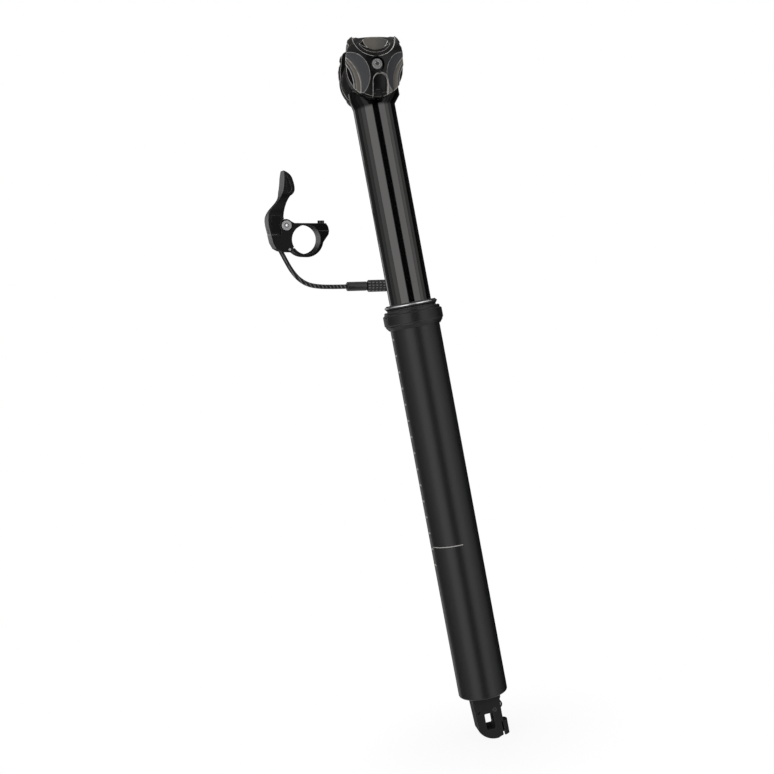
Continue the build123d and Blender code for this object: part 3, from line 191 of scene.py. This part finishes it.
def length(tree, *sides):
    """the length of a line from its extents along square axes"""
    total = times(tree, sides[0], sides[0])
    for side in sides[1:]:
        total = math(tree, "ADD", total, times(tree, side, side))
    return math(tree, "SQRT", total)


def object_point(tree):
    """the place on the object, in metres"""
    return tree.nodes.new("ShaderNodeTexCoord").outputs["Object"]


def split(tree, point):
    """the three coordinates of a point"""
    node = tree.nodes.new("ShaderNodeSeparateXYZ")
    tree.links.new(point, node.inputs[0])
    return node.outputs


def dot(tree, one, other):
    """the dot product of two vectors"""
    node = tree.nodes.new("ShaderNodeVectorMath")
    node.operation = "DOT_PRODUCT"
    socket(tree, node, 0, one)
    socket(tree, node, 1, other)
    return node.outputs["Value"]


def wave(tree, point, way, pitch):
    """a wave from -1 to 1 along a direction"""
    return math(tree, "SINE", times(tree, dot(tree, point, way), 2 * pi / pitch))


def spread(tree, factor, low, high, start=0.0, end=1.0):
    """a value from low to high, as the factor goes from start to end"""
    node = tree.nodes.new("ShaderNodeMapRange")
    inputs = {"Value": factor, "From Min": start, "From Max": end, "To Min": low, "To Max": high}
    for name, value in inputs.items():
        socket(tree, node, name, value)
    return node.outputs[0]


def rise(tree, value, start, end):
    """0 before the start, and 1 past the end"""
    return spread(tree, value, 0.0, 1.0, start, end)


def fall(tree, value, start, end):
    """1 before the start, and 0 past the end"""
    return spread(tree, value, 1.0, 0.0, start, end)


def within(tree, value, low, high, soft):
    """1 where a value lies between two others, with soft edges"""
    above = rise(tree, value, low - soft, low + soft)
    below = fall(tree, value, high - soft, high + soft)
    return times(tree, above, below)


def noise(tree, point, scale):
    """cloudy noise from 0 to 1, with its scale in cells per metre"""
    node = tree.nodes.new("ShaderNodeTexNoise")
    tree.links.new(point, node.inputs["Vector"])
    node.inputs["Scale"].default_value = scale
    node.inputs["Detail"].default_value = NOISE_DETAIL
    node.inputs["Roughness"].default_value = NOISE_ROUGHNESS
    return node.outputs["Fac"]


def patches(tree, point, scale, least):
    """1, falling to a least value in patches"""
    return spread(tree, noise(tree, point, scale), least, 1.0, NOISE_LOW, NOISE_HIGH)


def blend_colour(tree, factor, one, other):
    """a mix of two colours by a factor"""
    node = tree.nodes.new("ShaderNodeMix")
    node.data_type = "RGBA"
    socket(tree, node, 0, factor)
    for at, colour in zip(MIX_COLOUR_INPUTS, (one, other)):
        linked = isinstance(colour, bpy.types.NodeSocket)
        socket(tree, node, at, colour if linked else (*colour, 1.0))
    return node.outputs[MIX_COLOUR_OUTPUT]


def bump(tree, height, distance, under=None):
    """a normal from a height from 0 to 1 and its depth in metres, over another normal"""
    node = tree.nodes.new("ShaderNodeBump")
    node.inputs["Distance"].default_value = distance
    tree.links.new(height, node.inputs["Height"])
    if under is not None:
        tree.links.new(under, node.inputs["Normal"])
    return node.outputs["Normal"]


def rounded(tree, radius):
    """the normal of edges rounded by a radius, and a mask that is 1 on those edges"""
    node = tree.nodes.new("ShaderNodeBevel")
    node.samples = BEVEL_SAMPLES
    node.inputs["Radius"].default_value = radius
    flat = tree.nodes.new("ShaderNodeNewGeometry").outputs["Normal"]
    turned = minus(tree, 1.0, dot(tree, node.outputs["Normal"], flat))
    return node.outputs["Normal"], rise(tree, turned, EDGE_STARTS, EDGE_FULL)


# Lower tube: the insertion line and the row of depth ticks, by height and by degrees round the post
PRINT_WHITE = (0.42, 0.41, 0.39)
PRINT_SOFT = 0.05 * MM
PRINT_SOFT_DEGREES = 0.5
LINE_Z = -153.8 * MM
LINE_HALF = 0.28 * MM
LINE_FROM = -165.0
LINE_TO = -83.0
TICK_TOP_Z = -6.0 * MM
TICK_FOOT_Z = -176.0 * MM
TICK_PITCH = 11.5 * MM
TICK_HALF = 0.5 * MM
TICK_FADED = 1.4 * TICK_HALF
TICK_FROM = -180.0
TICK_TO = -166.0
TICK_STRENGTH = 0.8


def print_on_tube(tree, point, paint):
    """the printed line and ticks of the lower tube"""
    x, y, z = split(tree, point)
    turned = math(tree, "DEGREES", math(tree, "ARCTAN2", y, x))
    line = times(tree, within(tree, z, LINE_Z - LINE_HALF, LINE_Z + LINE_HALF, PRINT_SOFT),
                 within(tree, turned, LINE_FROM, LINE_TO, PRINT_SOFT_DEGREES))
    from_tick = math(tree, "PINGPONG", minus(tree, z, TICK_TOP_Z), TICK_PITCH / 2)
    tick = times(tree, fall(tree, from_tick, TICK_HALF, TICK_FADED),
                 within(tree, turned, TICK_FROM, TICK_TO, PRINT_SOFT_DEGREES))
    tick = times(tree, tick, within(tree, z, TICK_FOOT_Z, TICK_TOP_Z + TICK_HALF, TICK_HALF))
    both = math(tree, "MAXIMUM", line, times(tree, tick, TICK_STRENGTH))
    return blend_colour(tree, both, paint, PRINT_WHITE)


# Stanchion: bright up to the head, and deep black where it enters the head, partly the head's own darker finish
# and partly painted shade between the clamp plates
HEAD_FROM_Z = 152.0 * MM
HEAD_FULL_Z = 154.0 * MM
HEAD_AND_SHADE_TONE = grey(0.012)


def dark_head_and_shade(tree, point, paint):
    """the bright tube ends under the head, darkened above it partly for the head's finish and partly as painted
    shade
    """
    above = rise(tree, split(tree, point)[2], HEAD_FROM_Z, HEAD_FULL_Z)
    return blend_colour(tree, above, paint, HEAD_AND_SHADE_TONE)


# Lever bolt: a painted glint in the middle of its head, inside a ring of painted shade
LEVER_BOLT_AT = Vector(JOINTS["lever_press"]["pos_m"])
LEVER_BOLT_MIDDLE = 0.9 * MM
LEVER_BOLT_RING = 1.9 * MM
LEVER_BOLT_SOFT = 0.2 * MM
RING_SHADE_TONE = grey(0.10)
GLINT_TONE = grey(0.95)


def lever_bolt_glint(tree, point, paint):
    """the painted glint and the shaded ring of the lever bolt's head"""
    ways = (REMOTE_RIGHT, REMOTE_UP)
    far = length(tree, *[minus(tree, dot(tree, point, way), LEVER_BOLT_AT.dot(way)) for way in ways])
    in_ring = within(tree, far, LEVER_BOLT_MIDDLE, LEVER_BOLT_RING, LEVER_BOLT_SOFT)
    paint = blend_colour(tree, in_ring, paint, RING_SHADE_TONE)
    in_middle = fall(tree, far, LEVER_BOLT_MIDDLE - LEVER_BOLT_SOFT, LEVER_BOLT_MIDDLE)
    return blend_colour(tree, in_middle, paint, GLINT_TONE)


# Housing and barrel adjuster: painted highlights along the housing's twist and on the knurls' tips, pale between
# two heights of a wave
STRAND_PITCH = 2.6 * MM
STRAND_SLANT = 0.55
STRAND_RISE = (0.2, 0.9)
STRAND_PATCHES = 500  # cells per metre
STRAND_LEAST = 0.2
KNURL_PITCH = 3.0 * MM
KNURL_RISE = (-0.4, 0.4)
KNURL_ROW = 2.1 * MM
KNURL_ROW_RISE = (0.1, 0.7)
PAINTED_HIGHLIGHT_GREY = grey(0.16)


def strand_highlights(tree, point, paint):
    """painted highlights in slanting lines, along the twist of the housing"""
    slant = (REMOTE_RIGHT + STRAND_SLANT * REMOTE_UP).normalized()
    line = times(tree, rise(tree, wave(tree, point, slant, STRAND_PITCH), *STRAND_RISE),
                 patches(tree, point, STRAND_PATCHES, STRAND_LEAST))
    return blend_colour(tree, line, paint, PAINTED_HIGHLIGHT_GREY)


def knurl_highlights(tree, point, paint):
    """painted highlights on the tips of the barrel's knurls, in rows along it"""
    tip = times(tree, rise(tree, wave(tree, point, REMOTE_RIGHT, KNURL_PITCH), *KNURL_RISE),
                rise(tree, wave(tree, point, REMOTE_UP, KNURL_ROW), *KNURL_ROW_RISE))
    return blend_colour(tree, tip, paint, PAINTED_HIGHLIGHT_GREY)


# Right clamp plate: its places are measured from the bolt's axis and outwards from the rails
BOLT_AT = Vector(JOINTS["saddle_tilt"]["pos_m"])
RAIL_AT = Vector(MOUNTS["rail_right"]["pos_m"])
RAIL_WAY = Vector(MOUNTS["rail_right"]["axis"])
PLATE_R = 19.7 * MM
LEAF_FLOOR = 1.4 * MM
WELL_FLOOR = 4.2 * MM
FACE_HALF = 0.05 * MM
FACE_SOFT = 0.01 * MM
DISH_MIDDLES = [(2.05, -0.57, 1.70), (-1.99, -0.57, 1.70)]  # right, up and out, in shares of PLATE_R
DISH_R = 2.09 * PLATE_R
DISH_HALF = 0.1 * MM
DISH_SOFT = 0.02 * MM
# LAND: where a highlight is painted, beside the arch
LAND = (0.37, 0.66, -0.95, -0.30)  # beside the arch: left, right, foot and top, in shares of PLATE_R
LAND_SIDE_SOFT = 0.4 * MM
LAND_END_SOFT = 0.8 * MM
POCKET_EDGE_R = 5.5 * MM
ARCH_MIDDLE = 0.06 * PLATE_R
ARCH_HALF = 0.16 * PLATE_R
ARCH_SOFT = 0.1 * MM
ARCH_TOP = -0.68 * PLATE_R
WEAR_AND_HIGHLIGHT_FADE = 0.3 * MM
# painted shade on the well's floor, growing towards the right
WELL_SHADE_TO = 0.45 * PLATE_R
WELL_SHADE_LEAST = 0.25
WELL_SHADE_MOST = 0.9
CAST_GRAIN = 1600  # cells per metre
CAST_WANDER = 0.4
AS_CAST = (0.15, 0.138, 0.12)
# a grey painted as sheen on the dishes and as shade on the well's floor
SHEEN_AND_SHADE_GREY = (0.055, 0.056, 0.060)
LAND_HIGHLIGHT = (0.13, 0.12, 0.11)


def on_plate(tree, point):
    """a place on the right plate: right along the rail, up square to it, and out"""
    x, y, z = split(tree, point)
    along = minus(tree, x, BOLT_AT.x)
    above = minus(tree, z, BOLT_AT.z)
    right = math(tree, "ADD", times(tree, along, RAIL_WAY.x), times(tree, above, RAIL_WAY.z))
    up = minus(tree, times(tree, above, RAIL_WAY.x), times(tree, along, RAIL_WAY.z))
    return right, up, minus(tree, RAIL_AT.y, y)


def plate_faces(tree, point, paint):
    """a painted highlight on the land, painted sheen on the dishes, and the floors of leaves and well as cast,
    with painted shade on the well's floor
    """
    right, up, out = on_plate(tree, point)
    start, end, foot, top = [share * PLATE_R for share in LAND]
    on_land = times(tree, within(tree, right, start, end, LAND_SIDE_SOFT),
                    within(tree, up, foot, top, LAND_END_SOFT))
    paint = blend_colour(tree, on_land, paint, LAND_HIGHLIGHT)
    # painted sheen on the faces of the dishes
    for middle in DISH_MIDDLES:
        gaps = [minus(tree, at, share * PLATE_R) for at, share in zip((right, up, out), middle)]
        on_dish = within(tree, length(tree, *gaps), DISH_R - DISH_HALF, DISH_R + DISH_HALF, DISH_SOFT)
        paint = blend_colour(tree, on_dish, paint, SHEEN_AND_SHADE_GREY)
    cast = blend_colour(tree, noise(tree, point, CAST_GRAIN), toned(AS_CAST, 1 - CAST_WANDER),
                        toned(AS_CAST, 1 + CAST_WANDER))
    # painted shade: the well's floor darker towards the right
    shaded_to_right = blend_colour(tree, spread(tree, right, WELL_SHADE_LEAST, WELL_SHADE_MOST, 0.0, WELL_SHADE_TO), cast, SHEEN_AND_SHADE_GREY)
    for floor, tone in ((LEAF_FLOOR, cast), (WELL_FLOOR, shaded_to_right)):
        on_floor = within(tree, out, floor - FACE_HALF, floor + FACE_HALF, FACE_SOFT)
        paint = blend_colour(tree, on_floor, paint, tone)
    return paint


def plate_wear_and_highlight(tree, point):
    """1 where the right plate's edges get their wear and painted highlights, away from its bolt and its lower arch
    """
    right, up, _ = on_plate(tree, point)
    off_bolt = rise(tree, length(tree, right, up), POCKET_EDGE_R, POCKET_EDGE_R + WEAR_AND_HIGHLIGHT_FADE)
    arch = times(tree, within(tree, right, ARCH_MIDDLE - ARCH_HALF, ARCH_MIDDLE + ARCH_HALF, ARCH_SOFT),
                 fall(tree, up, ARCH_TOP, ARCH_TOP + WEAR_AND_HIGHLIGHT_FADE))
    return times(tree, off_bolt, minus(tree, 1.0, arch))


# Finishes: one for each material slot
GRAINS_IN_CLOUD = 18
GRAINS_IN_PATCH = 5
WEAR_AND_HIGHLIGHT_LEAST = 0.5


def finish(name, colour, roughness, grain=900.0, depth=0.02 * MM, wander=0.12, edge=None,
           edge_r=0.3 * MM, mark=None, wear_and_highlight_where=None, metallic=0.0, specular=0.5):
    """a finish with clouds in its colour and a fine grain in its gloss and height, marked, and with pale edges
    that are painted highlights, broken in patches like wear
    """
    material, tree = new_material(name)
    point = object_point(tree)
    fine = noise(tree, point, grain)
    clouds = noise(tree, point, grain / GRAINS_IN_CLOUD)
    paint = blend_colour(tree, clouds, toned(colour, 1 - wander), toned(colour, 1 + wander))
    if mark:
        paint = mark(tree, point, paint)
    normal = None
    # pale edges: painted highlights along the edges, broken in patches like wear
    if edge:
        normal, wear_and_highlight = rounded(tree, edge_r)
        wear_and_highlight = times(tree, wear_and_highlight, patches(tree, point, grain / GRAINS_IN_PATCH, WEAR_AND_HIGHLIGHT_LEAST))
        if wear_and_highlight_where:
            wear_and_highlight = times(tree, wear_and_highlight, wear_and_highlight_where(tree, point))
        paint = blend_colour(tree, wear_and_highlight, paint, edge)
    gloss = spread(tree, fine, roughness * (1 - wander), roughness * (1 + wander))
    shader = tree.nodes.new("ShaderNodeBsdfPrincipled")
    socket(tree, shader, "Base Color", paint)
    socket(tree, shader, "Roughness", gloss)
    socket(tree, shader, "Metallic", metallic)
    socket(tree, shader, "Specular IOR Level", specular)
    socket(tree, shader, "Normal", bump(tree, fine, depth, normal))
    show(tree, shader)
    return material


GLASSY_DEPTH = 0.001 * MM
FORGED = dict(colour=grey(0.004), grain=1300, depth=0.03 * MM, wander=0.25, edge_r=0.7 * MM,
              specular=0.14)
# edge: the colour of the painted highlights along the edges
FINISHES = {
    "black_anodised": dict(colour=(0.006, 0.006, 0.0063), roughness=0.46, grain=2400, specular=0.22),
    "collar_black": dict(colour=grey(0.006), roughness=0.36, grain=1500, edge=grey(0.10),
                         specular=0.27),
    "head_black": dict(FORGED, roughness=0.20, edge=(0.55, 0.53, 0.50)),
    "gloss_black": dict(colour=(0.058, 0.057, 0.056), roughness=0.09, grain=1500, depth=GLASSY_DEPTH,
                        wander=0.02, mark=dark_head_and_shade, metallic=1.0),
    "cast_dark": dict(colour=grey(0.014), roughness=0.60, grain=1200, edge=grey(0.08), specular=0.12),
    "cast_grey": dict(colour=(0.40, 0.40, 0.41), roughness=0.35, grain=1200, metallic=0.9),
    "cartridge_alloy": dict(colour=(0.50, 0.50, 0.51), roughness=0.28, grain=1000, metallic=1.0),
    "seal_rubber": dict(colour=grey(0.006), roughness=0.55, grain=1800),
    "bush_polymer": dict(colour=(0.42, 0.40, 0.34), roughness=0.50),
    "plain_steel": dict(colour=(0.42, 0.42, 0.43), roughness=0.35, metallic=1.0),
    "bright_steel": dict(colour=(0.30, 0.30, 0.31), roughness=0.30, metallic=1.0,
                         edge=(0.75, 0.75, 0.76)),
    "chromed_steel": dict(colour=(0.70, 0.70, 0.71), roughness=0.08, depth=GLASSY_DEPTH, metallic=1.0),
    "black_steel": dict(colour=(0.03, 0.03, 0.031), roughness=0.32, metallic=0.7, edge=grey(0.25)),
    "spring_steel": dict(colour=(0.20, 0.20, 0.21), roughness=0.30, metallic=1.0),
    "key_brass": dict(colour=(0.60, 0.42, 0.16), roughness=0.30, metallic=1.0),
    "remote_dark": dict(colour=grey(0.003), roughness=0.28, grain=1600, edge=grey(0.14),
                        edge_r=0.35 * MM, specular=0.12),
    "cap_black": dict(colour=grey(0.003), roughness=0.50, grain=2000, edge=grey(0.03), specular=0.1),
    "cable_sheath": dict(colour=grey(0.006), roughness=0.36, grain=2500, mark=strand_highlights,
                         specular=0.25),
    "cable_wire": dict(colour=(0.35, 0.35, 0.36), roughness=0.30, grain=4000, metallic=1.0),
    "ferrule_grey": dict(colour=grey(0.008), roughness=0.22, grain=1800, edge=grey(0.12),
                         specular=0.35),
}
MATERIALS = {name: finish(name, **look) for name, look in FINISHES.items()}

# Looks: pieces that differ from the rest of their slot
# their edge colours too are painted highlights along the edges
LOOKS = {
    "lower_tube": finish("tube_print", colour=(0.0065, 0.0065, 0.0068), roughness=0.36, grain=2400,
                         mark=print_on_tube, specular=0.30),
    "barrel_adjuster": finish("barrel_knurl", colour=grey(0.008), roughness=0.26, grain=1800,
                              mark=knurl_highlights, specular=0.3),
    "wiper_ring": finish("ring_steel", colour=(0.55, 0.55, 0.56), roughness=0.25, metallic=1.0),
    "clamp_plate_right": finish("plate_faces", roughness=0.24, edge=(0.85, 0.82, 0.78),
                                mark=plate_faces, wear_and_highlight_where=plate_wear_and_highlight, **FORGED),
    "lever_bolt": finish("lever_bolt_steel", mark=lever_bolt_glint, **FINISHES["bright_steel"]),
    "clamp_cross_bolt": finish("bolt_steel", colour=grey(0.15), roughness=0.42, grain=1500,
                               metallic=0.6, edge=(0.75, 0.74, 0.72), edge_r=0.5 * MM),
    "clamp_band_bolt": MATERIALS["black_steel"],
    "clamp_washers": MATERIALS["black_steel"],
    "actuator_pivot_pin": MATERIALS["black_steel"],
}


def dress_nodes():
    """every CAD piece gets its slot's finish, or its own"""
    for name, piece in NODES.items():
        piece.data.materials.clear()
        piece.data.materials.append(LOOKS.get(name, MATERIALS[SLOT_OF[name]]))


# Cable: the route of its housing in the remote's plane, in millimetres; then the post's spring
ROUTE = [(-19.3, -7.0), (-14.9, -15.4), (-10.0, -24.0), (-3.9, -30.9), (3.4, -34.9),
         (12.0, -36.3), (21.0, -36.5), (27.8, -36.5), (33.8, -36.4)]
HOUSING_R = 1.75 * MM


def make_cable():
    """the housing, from the remote's socket to the ferrule"""
    curve = bpy.data.curves.new("cable", "CURVE")
    curve.dimensions = "3D"
    spline = curve.splines.new("NURBS")
    spline.points.add(len(ROUTE) - 1)
    for point, at in zip(spline.points, ROUTE):
        point.co = (*in_remote(*at), 1.0)
    spline.order_u = 3
    spline.use_endpoint_u = True
    spline.resolution_u = 12
    curve.bevel_depth = HOUSING_R
    curve.bevel_resolution = 6
    curve.use_fill_caps = True
    cable = add_object("cable", curve)
    curve.materials.append(MATERIALS["cable_sheath"])
    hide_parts("cable_housing")
    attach(cable, "root")


def make_spring():
    """the spring, as a copy with its own mesh, carried with the cartridge"""
    solid = NODES["suspension_spring"]
    spring = solid.copy()
    spring.data = solid.data.copy()
    spring.name = "spring"
    bpy.context.scene.collection.objects.link(spring)
    spring.data.materials.clear()
    spring.data.materials.append(MATERIALS["spring_steel"])
    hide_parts("suspension_spring")
    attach(spring, "cartridge")
    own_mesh(spring)


# Floor: pale, under the post's foot, with its shadow kept near the post
FLOOR_GAP = 0.5 * MM
FLOOR_Z = CAD_BOX[0][2] - FLOOR_GAP
FLOOR_R = 6.0
FLOOR_SIDES = 96
FLOOR_TONE = grey(0.86)
SHADOW_FROM = 0.02
SHADOW_TO = 0.10
GLOW_AT_FOOT = 0.92


def seen_directly(tree):
    """1 for what the camera sees, also in gloss and through glass"""
    path = tree.nodes.new("ShaderNodeLightPath")
    seen = math(tree, "MAXIMUM", path.outputs["Is Camera Ray"], path.outputs["Is Glossy Ray"])
    return math(tree, "MAXIMUM", seen, path.outputs["Is Transmission Ray"])


def make_floor():
    """a floor that gloss doesn't show, and that fades to the backdrop away from the post"""
    bpy.ops.mesh.primitive_circle_add(vertices=FLOOR_SIDES, radius=FLOOR_R, fill_type="NGON",
                                      location=(0, 0, FLOOR_Z))
    floor = bpy.context.object
    floor.name = "floor"
    material, tree = new_material("floor")
    distance = tree.nodes.new("ShaderNodeVectorMath")
    distance.operation = "LENGTH"
    tree.links.new(object_point(tree), distance.inputs[0])
    far = spread(tree, distance.outputs["Value"], GLOW_AT_FOOT, 1.0, SHADOW_FROM, SHADOW_TO)
    shaded = coloured(tree, "ShaderNodeBsdfDiffuse", FLOOR_TONE)
    glow = coloured(tree, "ShaderNodeEmission", grey(1.0))
    show(tree, mix_shaders(tree, times(tree, seen_directly(tree), far), shaded, glow))
    floor.data.materials.append(material)
    floor.visible_glossy = False


# World: a white backdrop, and a little light from all round
WORLD_LIGHT = 0.12


def make_world():
    """white where it is seen directly, and dim as a light"""
    world = bpy.data.worlds.new("studio")
    bpy.context.scene.world = world
    world.use_nodes = True
    tree = world.node_tree
    tree.nodes.clear()
    light = coloured(tree, "ShaderNodeBackground", grey(1.0))
    light.inputs["Strength"].default_value = WORLD_LIGHT
    white = coloured(tree, "ShaderNodeBackground", grey(1.0))
    show(tree, mix_shaders(tree, seen_directly(tree), light, white), "ShaderNodeOutputWorld")


# Lights and dark flags round the post: bearings are in degrees from the camera's, to its right
LIGHT_AWAY = 1.1
LIGHT_FOOT = -0.80
LIGHT_TOP = 0.90
LIGHTS = [
    # name, from, to, radiance
    ("box_left", -50.0, -8.0, 1.1),
    ("box_mid_left", -76.0, -52.0, 0.85),
    ("box_far_left", -100.0, -77.0, 0.45),
    ("box_edge_left", -133.0, -101.0, 0.15),
    ("box_right", 26.0, 61.0, 0.85),
    ("box_mid_right", 63.0, 82.0, 1.1),
    ("box_far_right", 83.0, 104.0, 0.5),
]
FLAG_AWAY = 1.25
FLAG_REACH = 1.2
FLAG_STEP = 5.0
FLAG_TONE = grey(0.06)
FLAGS = [
    # name, from, to
    ("flag_front", -6.0, 25.0),
    ("flag_left", -134.0, -51.0),
    ("flag_back", 62.0, 208.0),
]
FILL_SIZE = 1.1
FILLS = [
    # name, place, radiance
    ("fill_top", (-0.15, -0.35, 1.25), 1.2),
    ("fill_front", (-0.30, -1.30, 0.25), 1.6),
    ("fill_back", (0.25, 1.30, 0.35), 1.2),
]


def at_bearing(bearing, distance, height):
    """a place round the post"""
    turned = radians(CAMERA_AZIMUTH + bearing)
    return Vector((distance * cos(turned), distance * sin(turned), height))


def soft_box(name, place, target, across, upright, radiance, in_gloss=True):
    """an area lamp of a given radiance, which the camera doesn't see"""
    lamp = bpy.data.lights.new(name, "AREA")
    lamp.shape = "RECTANGLE"
    lamp.size = across
    lamp.size_y = upright
    lamp.energy = radiance * pi * across * upright
    box = add_object(name, lamp)
    box.location = place
    box.rotation_euler = (target - place).to_track_quat("-Z", "Y").to_euler()
    box.visible_camera = False
    box.visible_glossy = in_gloss


def make_lights():
    """the lights that gloss shows, and the fill lamps that it doesn't"""
    height = (LIGHT_FOOT + LIGHT_TOP) / 2
    for name, start, end, radiance in LIGHTS:
        across = 2 * LIGHT_AWAY * tan(radians(end - start) / 2)
        place = at_bearing((start + end) / 2, LIGHT_AWAY, height)
        soft_box(name, place, Vector((0, 0, height)), across, LIGHT_TOP - LIGHT_FOOT, radiance)
    for name, place, radiance in FILLS:
        soft_box(name, Vector(place), Vector((0, 0, 0)), FILL_SIZE, FILL_SIZE, radiance, in_gloss=False)


def make_flag(name, start, end, material):
    """a curved dark card, which the camera doesn't see"""
    mesh = bmesh.new()
    steps = round((end - start) / FLAG_STEP)
    bearings = [start + (end - start) * at / steps for at in range(steps + 1)]
    foot, top = [[mesh.verts.new(at_bearing(bearing, FLAG_AWAY, height)) for bearing in bearings]
                 for height in (-FLAG_REACH, FLAG_REACH)]
    for at in range(steps):
        mesh.faces.new((foot[at], foot[at + 1], top[at + 1], top[at]))
    data = bpy.data.meshes.new(name)
    mesh.to_mesh(data)
    mesh.free()
    data.materials.append(material)
    card = add_object(name, data)
    card.visible_camera = False
    card.visible_shadow = False


def make_flags():
    """the dark cards between the lights and behind them"""
    material, tree = new_material("flag_dark")
    show(tree, coloured(tree, "ShaderNodeBsdfDiffuse", FLAG_TONE))
    for name, start, end in FLAGS:
        make_flag(name, start, end, material)


make_camera()
make_cable()
dress_nodes()
make_spring()
make_floor()
make_world()
make_lights()
make_flags()

bpy.context.scene.view_settings.view_transform = "Standard"
bpy.context.view_layer.update()
